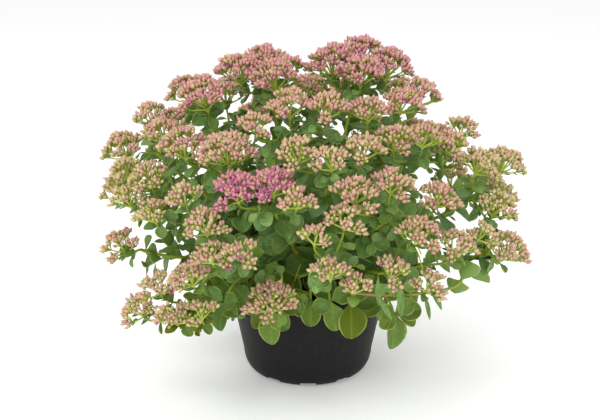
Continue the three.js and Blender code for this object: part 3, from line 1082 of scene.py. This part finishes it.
# %% [markdown]
# ## Clusters of buds
# A flower head ends in small clusters of ten to fourteen buds, each bud on a stalklet of its own.
# The buds are spread like the seeds of a sunflower, by a golden turn from one to the next, which
# fills a round outline evenly without rows, and the outer ones lean outward. How ripe the head is
# sets the chance that a bud is young and green, how pink it is, and the chance that it is open.

# %% Bud clusters
GOLDEN = 2.39996
BUD_LENGTHS = (5.2, 6.8)
YOUNG_SCALE = 0.72
BUD_SHAPE_CHANCES = (0.35, 0.3, 0.25, 0.1)
STAR_WIDTHS = (7.5, 9.0)
YOUNG_CHANCE = ((0.2, 0.5, 0.9), (0.35, 0.15, 0.02))  # how ripe, and the value at each
PINK_LEVEL = ((0.5, 0.7, 0.95), (0.0, 0.32, 0.48))
OPEN_CHANCE = ((0.5, 0.7, 1.0), (0.01, 0.13, 0.42))


def add_cluster(basket, top, direction, radius, ripe, rng):
    """A cluster of buds at the end of a branch."""
    count = int(rng.integers(10, 13)) + (2 if ripe > 0.5 else 0)
    phase = rng.uniform(0, 2 * np.pi)
    for k in range(count):
        flat = radius * np.sqrt((k + 0.35) / count)
        side = across(direction, phase + k * GOLDEN)
        way = unit(direction + side * 0.62 * flat / radius + rng.normal(0, 0.13, 3))
        place = top + side * flat + direction * (5.0 - 0.14 * flat + rng.normal(0, 0.9))
        basket["stalklets"].append((np.array([top, place]), 0.5, -1.0))
        young = rng.random() < np.interp(ripe, *YOUNG_CHANCE)
        tone = rng.uniform(0, 0.08) if young else float(np.clip(rng.normal(ripe, 0.2), 0.15, 1))
        pink = float(np.clip(rng.normal(np.interp(ripe, *PINK_LEVEL), 0.2), 0, 1))
        if not young and rng.random() < np.interp(ripe, *OPEN_CHANCE):
            axes = axes_for(way, across(way, rng.uniform(0, 6)))
            width = rng.uniform(*STAR_WIDTHS)
            basket["flowers"].append((place, axes, width, rng.integers(0, 2), tone, 0.0))
        else:
            shape = rng.choice(4, p=BUD_SHAPE_CHANCES)
            length = rng.uniform(*BUD_LENGTHS) * (YOUNG_SCALE if young else 1.0)
            axes = axes_for(way, across(way, rng.uniform(0, 6)))
            basket["buds"].append((place, axes, length, shape, tone, 0.0 if young else pink))


print("share of young buds at a ripeness of 0.5:", np.interp(0.5, *YOUNG_CHANCE))

# %% [markdown]
# ## Stalks and bracts
# A stalk runs from the stem's fork to a hub under each dome, and carries small pairs of leaves
# where it is long enough. From the hub, branches go up to the clusters, and tiny leaves, the
# bracts, sit on them. Both are placed by rule, since they hardly show under the buds.

# %% Stalks and bracts
BRACT_CHANCES = ((1, 0.4), (2, 0.6), (3, 0.8))  # the step along a branch, and the chance there


def add_dome_stalk(basket, fork, hub, up, rng):
    """The stalk from a shoot's fork to a dome's hub, with small pairs of leaves if it is long."""
    gap = np.linalg.norm(hub - fork)
    leave = unit(unit(hub - fork) + up * 0.5)
    stalk = bezier(fork, fork + leave * gap * 0.35, hub - up * gap * 0.35, hub, 10)
    basket["strands"].append((stalk, np.linspace(1.35, 1.0, len(stalk)), 0.0))
    for k, share in enumerate(np.arange(0.3, 1.0, 0.3)):
        if gap > 12:
            point, direction = along_line(stalk, share)
            add_pair(basket, point, direction, k * np.pi / 2 + rng.uniform(0, 1), 17 - 2 * k, rng, lift=0.5)


def add_bracts(basket, line, way, side, rng):
    """Tiny leaves on a branch, more often near its cluster."""
    for step, chance in BRACT_CHANCES:
        if rng.random() < chance:
            out = across(way, rng.uniform(0, 2 * np.pi)) + side * 0.8 + way * 0.9
            size = rng.uniform(6, 12 - 1.5 * step)
            add_leaf(basket, line[step], out, way, size, rng, pick=BRACT, age=0.3, force=True)


print("bracts on a branch, on average:", sum(chance for _, chance in BRACT_CHANCES))

# %% [markdown]
# ## Domes of clusters
# Under each dome the stalk splits at the hub into a fan of branches, and every branch ends in a
# cluster. The golden turn spreads the clusters too. Branches near the rim of a dome lean outward
# and those in the middle stand upright, which gives the dome its rounded top.

# %% Domes
CLUSTER_SPACING = 12.0
DOME_SPREAD = 0.47
DOME_HEIGHT = 0.34
HUB_DROP = 0.42  # the branches start this share of the dome's width below its middle


def add_dome(basket, fork, dome, ripe, rng):
    """A stalk from the fork to one dome, its branches and their clusters."""
    middle, width = np.array(dome[:3], float), dome[3]
    up = unit(middle - FACE)
    hub = middle - up * HUB_DROP * width
    add_dome_stalk(basket, fork, hub, up, rng)
    count = max(4, round((width / CLUSTER_SPACING) ** 2))
    phase = rng.uniform(0, 2 * np.pi)
    radius = DOME_SPREAD * width
    for k in range(count):
        share = np.sqrt((k + 0.4) / count)
        side = across(up, phase + k * GOLDEN + rng.normal(0, 0.12))
        spot = middle + side * radius * share * 0.88
        bump = min(rng.normal(0, 0.05), 0.02) - 0.13
        spot = spot + up * (width * (DOME_HEIGHT * (1 - share**2) + bump) - 4.0)
        way = unit(unit(spot - hub) + up * 0.7)
        line = bezier(hub, hub + up * width * 0.12, spot - way * width * 0.1, spot, 4)
        basket["branches"].append((line, np.linspace(1.0, 0.75, len(line)), -0.8))
        add_bracts(basket, line, way, side, rng)
        reach = radius / np.sqrt(count) * (1.02 - 0.14 * share) * rng.uniform(0.9, 1.12)
        add_cluster(basket, spot, way, reach, ripe, rng)


print("clusters on a dome 40 mm wide:", round((40 / CLUSTER_SPACING) ** 2))

# %% [markdown]
# ## From baskets to pieces
# Each shoot gives two pieces: its leafy stem, which stands for the CAD stem, and its flower head,
# which stands for the CAD head. The trees run on each basket, and the meshes of one piece are
# joined, so that a head's stalks, buds and open flowers stay together.

# %% Helpers that make pieces
def piece_from(name, meshes):
    """Joins meshes into one object at the origin."""
    parts = [placed(name, mesh) for mesh in meshes]
    with bpy.context.temp_override(
        active_object=parts[0], object=parts[0], selected_objects=parts, selected_editable_objects=parts
    ):
        bpy.ops.object.join()
    parts[0].name = name
    return parts[0]


def tubes(strands, sides):
    return grown(tube_tree, strands_mesh(strands), {"Sides": sides, "Finish": stem_finish})


def copies(rows, shapes, finish):
    return grown(copies_tree, copies_mesh(rows), {"Shapes": shapes, "Size": 1.0, "Finish": finish})


def new_basket():
    return {kind: [] for kind in ("strands", "branches", "stalklets", "leaves", "buds", "flowers")}


def triangles(piece):
    piece.data.calc_loop_triangles()
    return len(piece.data.loop_triangles)


print("a basket holds", ", ".join(new_basket()))

# %% [markdown]
# ## Large leaves over the rim
# A few leaves in the middle are much larger than their neighbours, and they show well from the
# front. Each one has its own place on a stem, its own direction and its own size. They are placed
# before the other leaves of their stem, which then keep clear of them.

# %% Large leaves
LARGE_LEAF = 3  # their shape in leaf_shapes
LARGE_LEAVES = [  # shoot, share along its stem, direction, facing, size and age
    (7, 0.32, (0.93, -0.25, 0.4), (0.0, -0.85, 0.5), 45, 0.35),
    (7, 0.33, (0.5, -0.75, -0.6), (0.05, -0.7, 0.7), 42, 1.0),
    (7, 0.42, (0.1, -0.8, -0.25), (0.0, -0.5, 0.85), 24, 0.2),
    (7, 0.38, (-0.75, -0.3, -0.35), (0.0, -0.7, 0.7), 34, 0.3),
    (8, 0.64, (-0.3, -0.75, -0.2), (-0.1, -0.6, 0.75), 25, 0.0),
    (16, 0.45, (0.7, -0.6, 0.1), (0.0, -0.6, 0.8), 36, 0.2),
]


def add_large_leaves(basket, number, line, rng):
    """The large leaves that belong to one shoot."""
    for shoot, share, forward, facing, size, age in LARGE_LEAVES:
        if shoot == number:
            point, _ = along_line(line, share)
            forward, facing = np.array(forward), np.array(facing)
            add_leaf(basket, point, forward, facing, size, rng, pick=LARGE_LEAF, age=age, force=True)


print(len(LARGE_LEAVES), "large leaves, up to", max(row[4] for row in LARGE_LEAVES), "mm long")

# %% [markdown]
# ## One shoot
# Each shoot has its own random seed, so that the plant comes out the same each time. The flower
# head comes first, because its leaves are small and the stem's leaves fill what is left. The
# thinner a stalk is, the fewer sides its tubes need.

# %% One shoot
FIRST_SEED = 100
STEM_SIDES, STALK_SIDES, BRANCH_SIDES, STALKLET_SIDES = 8, 6, 5, 3


def grow_shoot(number, ripe, domes):
    """The baskets of one shoot's leafy stem and of its flower head."""
    rng = np.random.default_rng(FIRST_SEED + number - 1)
    line, fork = lay_out(number, domes)
    stem, head = new_basket(), new_basket()
    for dome in domes:
        add_dome(head, fork, dome, dome[4] if len(dome) > 4 else ripe, rng)
    add_large_leaves(stem, number, line, rng)
    add_stem(stem, line, rng, trailing=number in DETOURS)
    return stem, head


def make_head(name, head):
    """One piece of a flower head's stalks, buds, and where it has them bracts and open flowers."""
    meshes = [
        tubes(head["strands"], STALK_SIDES),
        tubes(head["branches"], BRANCH_SIDES),
        tubes(head["stalklets"], STALKLET_SIDES),
        copies(head["buds"], bud_shapes, bud_finish),
    ]
    if head["leaves"]:
        meshes.append(copies(head["leaves"], leaf_shapes, leaf_finish))
    if head["flowers"]:
        meshes.append(copies(head["flowers"], flower_shapes, petal_finish))
    return piece_from(name, meshes)


print("sides of the tubes:", STEM_SIDES, STALK_SIDES, BRANCH_SIDES, STALKLET_SIDES)

# %% [markdown]
# ## All the shoots
# Now every shoot grows, from the first to the last. Each piece rides on the plant's one body and
# stands for its CAD solid, which stays hidden from then on. The points of all the stalks are kept
# for the hanging leaves.

# %% Grow the shoots
all_stalks = []
total = 0
for index, (ripe, domes) in enumerate(SHOOTS):
    number = f"{index + 1:02d}"
    stem, head = grow_shoot(index + 1, ripe, domes)
    all_stalks.extend(strand[0] for strand in stem["strands"] + head["strands"])
    stem_meshes = [tubes(stem["strands"], STEM_SIDES), copies(stem["leaves"], leaf_shapes, leaf_finish)]
    stem_piece = piece_from(f"leafy_stem_{number}", stem_meshes)
    head_piece = make_head(f"cyme_{number}", head)
    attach(stem_piece, "root")
    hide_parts(f"stem_{number}")
    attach(head_piece, "root")
    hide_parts(f"flower_head_{number}")
    total += triangles(stem_piece) + triangles(head_piece)
    print(number, "leaves", len(stem["leaves"]) + len(head["leaves"]), "buds", len(head["buds"]),
          "open", len(head["flowers"]), "triangles", triangles(stem_piece), triangles(head_piece))
print("all shoots:", total, "triangles")

# %% [markdown]
# ## Building a rim shoot
# Around the pot's rim the sedum also has short shoots without flowers. Each one climbs over the
# rim in a curve that is steep at first, and its broad lower leaves hang down outside the pot,
# fanned out around the downward direction. Ordinary pairs of leaves sit above them.

# %% Rim shoot builder
UPPER_PAIRS = ((0.82, 24), (0.66, 27), (0.5, 28))  # share along the shoot, and the leaves' size


def rim_path(end):
    """From the crown over the pot's rim to the end of a rim shoot."""
    out = unit(np.array([end[0], end[1], 0.0]))
    seat, normal = crown_seat(np.array([*end[:2], 95.0]))
    return bezier(seat, seat + normal * 20 + UP * 26, end - out * 14 + UP * 38, end, 14), out


def add_rim_shoot(basket, end, leaves, rng):
    """A shoot over the rim, its hanging leaves and the pairs above them."""
    end = np.array(end, float)
    line, out = rim_path(end)
    basket["strands"].append((line, np.linspace(1.9, 1.2, len(line)), np.linspace(0.6, 0.2, len(line))))
    sideways = np.cross(UP, out)
    for angle, size, age in leaves:
        turn = np.radians(angle)
        forward = -np.cos(turn) * UP + np.sin(turn) * sideways + out * rng.uniform(0.22, 0.42)
        facing = out + UP * (0.35 + 0.3 * abs(np.sin(turn)))
        start = end + out * rng.uniform(0, 1.5) + UP * rng.uniform(-1, 4)
        add_leaf(basket, start, forward, facing, size, rng, age=age, force=True)
    for share, size in UPPER_PAIRS:
        point, direction = along_line(line, share)
        add_pair(basket, point, direction, rng.uniform(0, 3), size, rng, lift=0.3, upward=1.2)


path, _ = rim_path(np.array([0.0, -100.0, 110.0]))
print("a rim shoot rises to", path[:, 2].max().round(1), "mm on its way over the rim")

# %% [markdown]
# ## Short shoots over the rim
# The rim shoots in front are placed one by one, because their leaves cover the pot there. The
# others go round the rim by rule, with a little chance in their places and sizes.

# %% Rim shoots
FRONT_RIM_SHOOTS = [  # end of the shoot, then an angle from straight down, a size and an age per leaf
    ((-36, -93, 98), ((-52, 26, 0.9), (58, 24, 0.7), (4, 35, 0.5))),
    ((21, -94, 106), ((-66, 22, 0.3), (8, 30, 0.35), (118, 25, 0.5))),
    ((40, -93, 105), ((-2, 37, 1.0), (82, 26, 0.6))),
    ((2, -93, 110), ((0, 27, 0.8), (-85, 26, 0.7))),
    ((81, -118, 104), ((-8, 36, 0.6), (-68, 21, 0.7), (62, 29, 0.8), (98, 28, 0.7), (-125, 20, 0.6),
                       (128, 22, 0.6))),
    ((-80, -118, 115), ((-4, 28, 0.6), (-95, 18, 0.5), (80, 21, 0.4), (-128, 20, 0.4), (122, 22, 0.3))),
    ((-62, -78, 106), ((-20, 27, 0.5), (50, 24, 0.5), (-80, 25, 0.4))),
    ((66, -76, 107), ((15, 28, 0.4), (-50, 24, 0.6), (78, 25, 0.5))),
]
OTHER_ANGLES = range(-18, 205, 22)  # where the other shoots stand around the rim, in degrees
rim = new_basket()
rng = np.random.default_rng(77)
for end, leaves in FRONT_RIM_SHOOTS:
    add_rim_shoot(rim, end, leaves, rng)
for angle in OTHER_ANGLES:
    turn = np.radians(angle + rng.uniform(-6, 6))
    reach, height = rng.uniform(94, 118), rng.uniform(100, 116)
    leaves = [(rng.uniform(-12, 12), rng.uniform(28, 36), rng.uniform(0.5, 1.0))]
    for side in (-1, 1):
        leaves.append((side * rng.uniform(50, 80), rng.uniform(22, 27), rng.uniform(0.3, 0.9)))
        leaves.append((side * rng.uniform(105, 130), rng.uniform(17, 22), rng.uniform(0.2, 0.7)))
    add_rim_shoot(rim, (reach * np.cos(turn), reach * np.sin(turn), height), leaves, rng)
rim_meshes = [tubes(rim["strands"], 7), copies(rim["leaves"], leaf_shapes, leaf_finish)]
rim_piece = piece_from("rim_shoots", rim_meshes)
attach(rim_piece, "root")
print("rim shoots: leaves", len(rim["leaves"]), "triangles", triangles(rim_piece))

# %% [markdown]
# ## Narrow hanging leaves
# At the right of the front a few narrow grey-green leaves hang down among the round ones. Each
# one starts on a short stalk of its own from the nearest stem, so that none of them floats.

# %% Hanging leaves
HANGING_LEAVES = [  # where each one starts and where its tip is
    ((82, -168, 170), (94, -172, 140)),
    ((60, -178, 168), (61, -180, 138)),
    ((62, -150, 138), (76, -152, 112)),
    ((80, -176, 164), (81, -178, 126)),
    ((99, -178, 172), (118, -180, 134)),
    ((98, -172, 184), (97, -176, 166)),
    ((104, -158, 142), (110, -160, 116)),
]
hanging = new_basket()
stalk_points = np.concatenate(all_stalks)
for start, tip in HANGING_LEAVES:
    start, tip = np.array(start, float), np.array(tip, float)
    nearest = stalk_points[np.argmin(np.linalg.norm(stalk_points - start, axis=1))]
    middle = (nearest + start) / 2 + UP * 3
    hanging["strands"].append((np.array([nearest, middle, start]), 0.6, 0.1))
    size = np.linalg.norm(tip - start)
    facing = np.array([rng.uniform(-0.4, 0.4), -1.0, 0.3])
    add_leaf(hanging, start, tip - start, facing, size, rng, pick=NARROW_LEAF, age=0.1, force=True)
hanging_meshes = [tubes(hanging["strands"], 5), copies(hanging["leaves"], leaf_shapes, leaf_finish)]
hanging_piece = piece_from("hanging_leaves", hanging_meshes)
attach(hanging_piece, "root")
print("hanging leaves:", len(hanging["leaves"]), "triangles", triangles(hanging_piece))

# %% [markdown]
# ## The pot's outline
# The pot is one thin moulded shell with a rim band, a tapered wall, a rounded lower edge and a
# ring of feet. The outline runs from under the floor, up the outside, over the rim and down the
# inside. Around the pot, points stand closer together at the edges of the feet.

# %% Pot outline
FOOT_HEIGHT = 5.0
FOOT_COUNT = 10
FOOT_HALF_ANGLE = 9.7
GAP_EDGE_ANGLE = 10.1
FOOT_RADIUS = 66.0  # what lies nearer to the axis than this is lifted between the feet
POT_FLOOR = 7.0
POT_OUTLINE = (
    (46, 5.0), (46.6, 0.8), (47.4, 0.0), (56, 0.0), (57.4, 0.25), (60, 1.0), (62.5, 2.4), (65, 5.4),
    (67, 9.5), (68.4, 15), (69.2, 22), (73, 41), (78, 67), (82.2, 91.4), (82.5, 92.6), (83.4, 93.2),
    (85.0, 93.4), (85.7, 94), (86, 95), (86, 102.6), (85.7, 103.6), (85.0, 104), (83.6, 104), (82.9, 103.6),
    (82.6, 102.6), (80.4, 91), (71.2, 44), (67.3, 22), (65.5, 15), (61, 9), (55, 7), (30, 7),
)


def foot_angles():
    """Angles around the pot in degrees, each with True where it lies in a gap between feet."""
    spots = []
    step = 360 / FOOT_COUNT
    for foot in range(FOOT_COUNT):
        for angle in (-FOOT_HALF_ANGLE, -6, -2, 2, 6, FOOT_HALF_ANGLE):
            spots.append((foot * step + angle, False))
        for angle in (GAP_EDGE_ANGLE, 12, 15, 18, 21, 24, step - GAP_EDGE_ANGLE):
            spots.append((foot * step + angle, True))
    return spots


print("pot:", len(POT_OUTLINE), "rings of", len(foot_angles()), "points")

# %% [markdown]
# ## Turning the pot
# A Screw modifier could turn the outline, but the foot ring is broken by gaps. So the outline is
# turned in code: the rings near the ground are lifted wherever there is a gap between two feet,
# and nothing has to be cut. Sharp corners stay sharp, and the rest is shaded smooth.

# %% Pot
def close_rings(bm, rings, hub_heights):
    """Faces between neighbouring rings, and a fan from the first and the last ring to the axis."""
    count = len(rings[0])
    for low, high in zip(rings, rings[1:]):
        for i in range(count):
            j = (i + 1) % count
            bm.faces.new((low[i], low[j], high[j], high[i]))
    for ring, z in zip((rings[0], rings[-1]), hub_heights):
        hub = bm.verts.new((0, 0, z * MM))
        for i in range(count):
            bm.faces.new((ring[i], ring[(i + 1) % count], hub))


def make_pot():
    bm = bmesh.new()
    rings = []
    for radius, z in POT_OUTLINE:
        ring = []
        for angle, in_gap in foot_angles():
            height = max(z, FOOT_HEIGHT) if in_gap and radius < FOOT_RADIUS else z
            turn = np.radians(angle)
            place = (radius * np.cos(turn) * MM, radius * np.sin(turn) * MM, height * MM)
            ring.append(bm.verts.new(place))
        rings.append(ring)
    close_rings(bm, rings, (FOOT_HEIGHT, POT_FLOOR))
    mesh = finished_mesh("nursery_pot", bm)
    for face in mesh.polygons:
        face.use_smooth = True
    mesh.set_sharp_from_angle(angle=np.radians(38))
    return placed("nursery_pot", mesh)


pot_piece = make_pot()
print("pot:", triangles(pot_piece), "triangles, CAD pot box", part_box("pot"))

# %% [markdown]
# ## The pot's finish
# Black pots are moulded from recycled plastic. They are nearly black, dull, finely textured, a
# little uneven in tone, and there is always some dust of potting mix on them. Two strengths of the
# same patches and the grain give all of this without a picture.

# %% Pot finish
def make_pot_material():
    """Black moulded plastic with a fine texture, faint flow marks and a little dust."""
    material, tree, shader = start_material("pot_plastic", Specular_IOR_Level=0.2)
    blotch = grouped(tree, patches_group, Scale=28.0, Contrast=1.0)
    dust = grouped(tree, patches_group, Scale=180.0, Contrast=3.0)
    shade = mix(tree, blotch, (0.0055, 0.006, 0.0055), (0.008, 0.0085, 0.008))
    shade = mix(tree, ramp(tree, dust, 0.0, 0.05, 0.7, 1.0), shade, (0.12, 0.11, 0.09))
    tree.links.new(shade, shader.inputs["Base Color"])
    tree.links.new(ramp(tree, blotch, 0.5, 0.6), shader.inputs["Roughness"])
    bumped(tree, shader, grouped(tree, grain_group, Scale=1500.0, Roughness=0.7), 0.15, 0.0002)
    return material


pot_piece.data.materials.append(make_pot_material())
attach(pot_piece, "root")
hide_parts("pot")
print("pot finish:", pot_piece.data.materials[0].name)

# %% [markdown]
# ## Potting mix
# The potting mix is dark and crumbly, with bits of bark and white perlite. Its body is a turned
# shape with an uneven top. The crumbs on it are copies on points, like the leaves, because there
# are about a thousand of them.

# %% Body of the potting mix
MIX_SIDES = 72
MIX_FLOOR = 7.4
MIX_SIDE_OUTLINE = [(54.2, MIX_FLOOR), (60, 13), (66.5, 22), (80.0, 90)]
MIX_TOP_RADII = (76, 68, 60, 52, 44, 36, 28, 20, 12, 5)
UNEVENNESS = 1.1


def noise_lift(x, y, seed):
    """A small repeatable unevenness."""
    return np.sin(0.31 * x + seed) * np.cos(0.27 * y - seed) + 0.5 * np.sin(0.83 * x - 0.71 * y + 2 * seed)


def make_mix():
    bm = bmesh.new()
    rings = []
    for radius, z in MIX_SIDE_OUTLINE + [(radius, MIX_TOP) for radius in MIX_TOP_RADII]:
        ring = []
        for i in range(MIX_SIDES):
            turn = 2 * np.pi * i / MIX_SIDES
            x, y = radius * np.cos(turn), radius * np.sin(turn)
            uneven = z == MIX_TOP and radius > CROWN_RADIUS
            lift = UNEVENNESS * noise_lift(x, y, 1.0) - 0.8 if uneven else 0.0
            ring.append(bm.verts.new((x * MM, y * MM, (z + lift) * MM)))
        rings.append(ring)
    close_rings(bm, rings, (MIX_FLOOR, MIX_TOP))
    return finished_mesh("mix_body", bm)


def make_soil_material(name, dark, light, contrast):
    """Crumbly matter: two colours in small blotches and a strong bump."""
    material, tree, shader = start_material(name, Specular_IOR_Level=0.2)
    blotch = grouped(tree, patches_group, Scale=160.0, Contrast=contrast)
    tree.links.new(mix(tree, blotch, dark, light), shader.inputs["Base Color"])
    tree.links.new(ramp(tree, blotch, 0.85, 1.0), shader.inputs["Roughness"])
    bumped(tree, shader, grouped(tree, grain_group, Scale=380.0, Roughness=0.75), 0.9, 0.0012)
    return material


soil_finish = make_soil_material("peat", (0.012, 0.007, 0.004), (0.05, 0.03, 0.017), 3.0)
bark_finish = make_soil_material("bark", (0.05, 0.025, 0.012), (0.16, 0.085, 0.04), 2.5)
perlite_finish = make_soil_material("perlite", (0.42, 0.40, 0.36), (0.62, 0.60, 0.55), 1.5)
mix_body = make_mix()
mix_body.materials.append(soil_finish)
print("mix body:", len(mix_body.polygons), "faces")

# %% [markdown]
# ## Crumbs on the mix
# Bark, peat and perlite differ in size and colour but not much in shape, so four small uneven
# stones serve them all. They lie flat on the mix, with a little tilt, and closer together than
# the stems.

# %% Crumbs
CRUMB_SHAPES = 4


def crumb_mesh(name, proportions, seed):
    """A small angular crumb: a ball of few faces with its points moved in and out."""
    rng = np.random.default_rng(seed)
    bm = bmesh.new()
    bmesh.ops.create_icosphere(bm, subdivisions=1, radius=0.5)
    for point in bm.verts:
        point.co = Vector(np.array(point.co) * proportions * rng.uniform(0.75, 1.15))
    return finished_mesh(name, bm)


crumb_shapes = shape_collection(
    "crumb_shape",
    [crumb_mesh(f"crumb_{k}", (1.0, 0.55 + 0.1 * k, 0.3 + 0.08 * k), k) for k in range(CRUMB_SHAPES)],
)


def crumbs(count, sizes, seed):
    """Rows of crumbs lying on the potting mix."""
    rng = np.random.default_rng(seed)
    rows = []
    for _ in range(count):
        turn, radius = rng.uniform(0, 2 * np.pi), 79 * np.sqrt(rng.uniform(0.12, 1.0))
        x, y = radius * np.cos(turn), radius * np.sin(turn)
        place = np.array([x, y, MIX_TOP + UNEVENNESS * noise_lift(x, y, 1.0) - 0.6])
        facing = unit(UP + rng.normal(0, 0.3, 3))
        axes = axes_for(across(facing, rng.uniform(0, 6.28)), facing)
        rows.append((place, axes, rng.uniform(*sizes), rng.integers(0, CRUMB_SHAPES), 0.5, 0.0))
    return rows


mix_piece = piece_from(
    "mix_with_crumbs",
    [
        mix_body,
        copies(crumbs(420, (3, 8), 11), crumb_shapes, bark_finish),
        copies(crumbs(500, (1.5, 3.5), 12), crumb_shapes, soil_finish),
        copies(crumbs(130, (1.5, 3.4), 13), crumb_shapes, perlite_finish),
    ],
)
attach(mix_piece, "root")
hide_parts("potting_mix")
print("mix:", triangles(mix_piece), "triangles")

# %% [markdown]
# ## The crown
# The crown is a knotty woody cushion from which all stems grow. Small waves move the points of a
# half ball outward and inward, and its finish is the crumbly one in the brown of old bark.

# %% Crown
CROWN_FOOT = -0.12  # its lowest level, as a share of its height above the mix


def make_crown():
    bm = bmesh.new()
    bmesh.ops.create_icosphere(bm, subdivisions=4, radius=1.0)
    for point in bm.verts:
        x, y, z = point.co
        knot = 1.0 + 0.05 * np.sin(9 * x + 4 * z) * np.cos(8 * y)
        knot += 0.03 * np.sin(23 * x) * np.sin(21 * y + 9 * z)
        height = MIX_TOP + CROWN_HEIGHT * max(z, CROWN_FOOT) * knot
        point.co = Vector((x * CROWN_RADIUS * knot, y * CROWN_RADIUS * knot, height)) * MM
    mesh = finished_mesh("crown_knot", bm)
    for face in mesh.polygons:
        face.use_smooth = True
    return placed("crown_knot", mesh)


crown_piece = make_crown()
crown_finish = make_soil_material("crown_bark", (0.09, 0.055, 0.025), (0.24, 0.17, 0.08), 2.2)
crown_piece.data.materials.append(crown_finish)
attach(crown_piece, "root")
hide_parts("crown")
print("crown:", triangles(crown_piece), "triangles")

# %% [markdown]
# ## Clearing up the shapes
# The shapes in the collections were only patterns for copies. The plain meshes no longer need
# them, so they go.

# %% Remove the patterns
for collection in (leaf_shapes, bud_shapes, flower_shapes, crumb_shapes):
    for pattern in list(collection.objects):
        bpy.data.objects.remove(pattern)
    bpy.data.collections.remove(collection)

# %% [markdown]
# ## Floor
# The plant stands on a plain pale floor that runs far back, so that it also fills the
# background. A little light of its own keeps it nearly white, with only a soft shadow.

# %% Floor
FLOOR_REACH = 9.0


def make_floor():
    reach = FLOOR_REACH
    corners = [(-reach, -reach, 0), (reach, -reach, 0), (reach, reach, 0), (-reach, reach, 0)]
    mesh = bpy.data.meshes.new("floor")
    mesh.from_pydata(corners, [], [(0, 1, 2, 3)])
    material, _, shader = start_material("pale_floor", Roughness=0.9, Specular_IOR_Level=0.1)
    shader.inputs["Base Color"].default_value = (0.9, 0.9, 0.9, 1.0)
    shader.inputs["Emission Color"].default_value = (1.0, 1.0, 1.0, 1.0)
    shader.inputs["Emission Strength"].default_value = 0.2
    mesh.materials.append(material)
    return placed("floor", mesh)


floor = make_floor()
print("floor:", 2 * FLOOR_REACH, "m wide")

# %% [markdown]
# ## Light
# The sky is an even white, and three large soft lamps model the leaves and the pot: the key from
# the upper left, a weaker one from above, and a weak fill from the front.

# %% Light
LAMPS = [  # name, place, size in metres and power in watts
    ("key", (-0.9, -1.3, 1.8), 1.0, 22),
    ("top", (0.5, 0.4, 2.2), 1.4, 10),
    ("fill", (0.5, -2.2, 0.9), 1.6, 8),
]
LAMP_TARGET = Vector((0, 0, 0.2))


def add_lamp(name, place, size, power):
    lamp = bpy.data.lights.new(name, "AREA")
    lamp.shape = "DISK"
    lamp.size = size
    lamp.energy = power
    holder = placed(name, lamp)
    holder.location = place
    holder.rotation_euler = (LAMP_TARGET - Vector(place)).to_track_quat("-Z", "Y").to_euler()


world = bpy.data.worlds.new("white_sky")
world.use_nodes = True
sky = next(node for node in world.node_tree.nodes if node.type == "BACKGROUND")
sky.inputs["Color"].default_value = (1.0, 1.0, 1.0, 1.0)
sky.inputs["Strength"].default_value = 0.82
bpy.context.scene.world = world
for lamp_row in LAMPS:
    add_lamp(*lamp_row)
print(len(LAMPS), "lamps")

# %% [markdown]
# ## Camera
# The camera looks down on the plant a little, from about a metre away, which was worked out from
# how flat the ring of the pot's feet looks. The plain Standard view keeps the colours as they are.

# %% Camera
LOOK_DOWN = 17  # degrees below the horizontal
camera_data = bpy.data.cameras.new("camera")
camera_data.lens = 61.1
camera_data.sensor_width = 36.0
camera = placed("camera", camera_data)
camera.location = VIEWER * MM
camera.rotation_euler = (np.radians(90 - LOOK_DOWN), 0, 0)
bpy.context.scene.camera = camera
bpy.context.scene.view_settings.view_transform = "Standard"
print("camera at", tuple(camera.location))

# %% [markdown]
# A helper rounds the corners of a box to five places. The visual model has to stay in
# the CAD model's box.

# %% Sizes and the end
def plain(box):
    return [[round(float(value), 5) for value in corner] for corner in box]
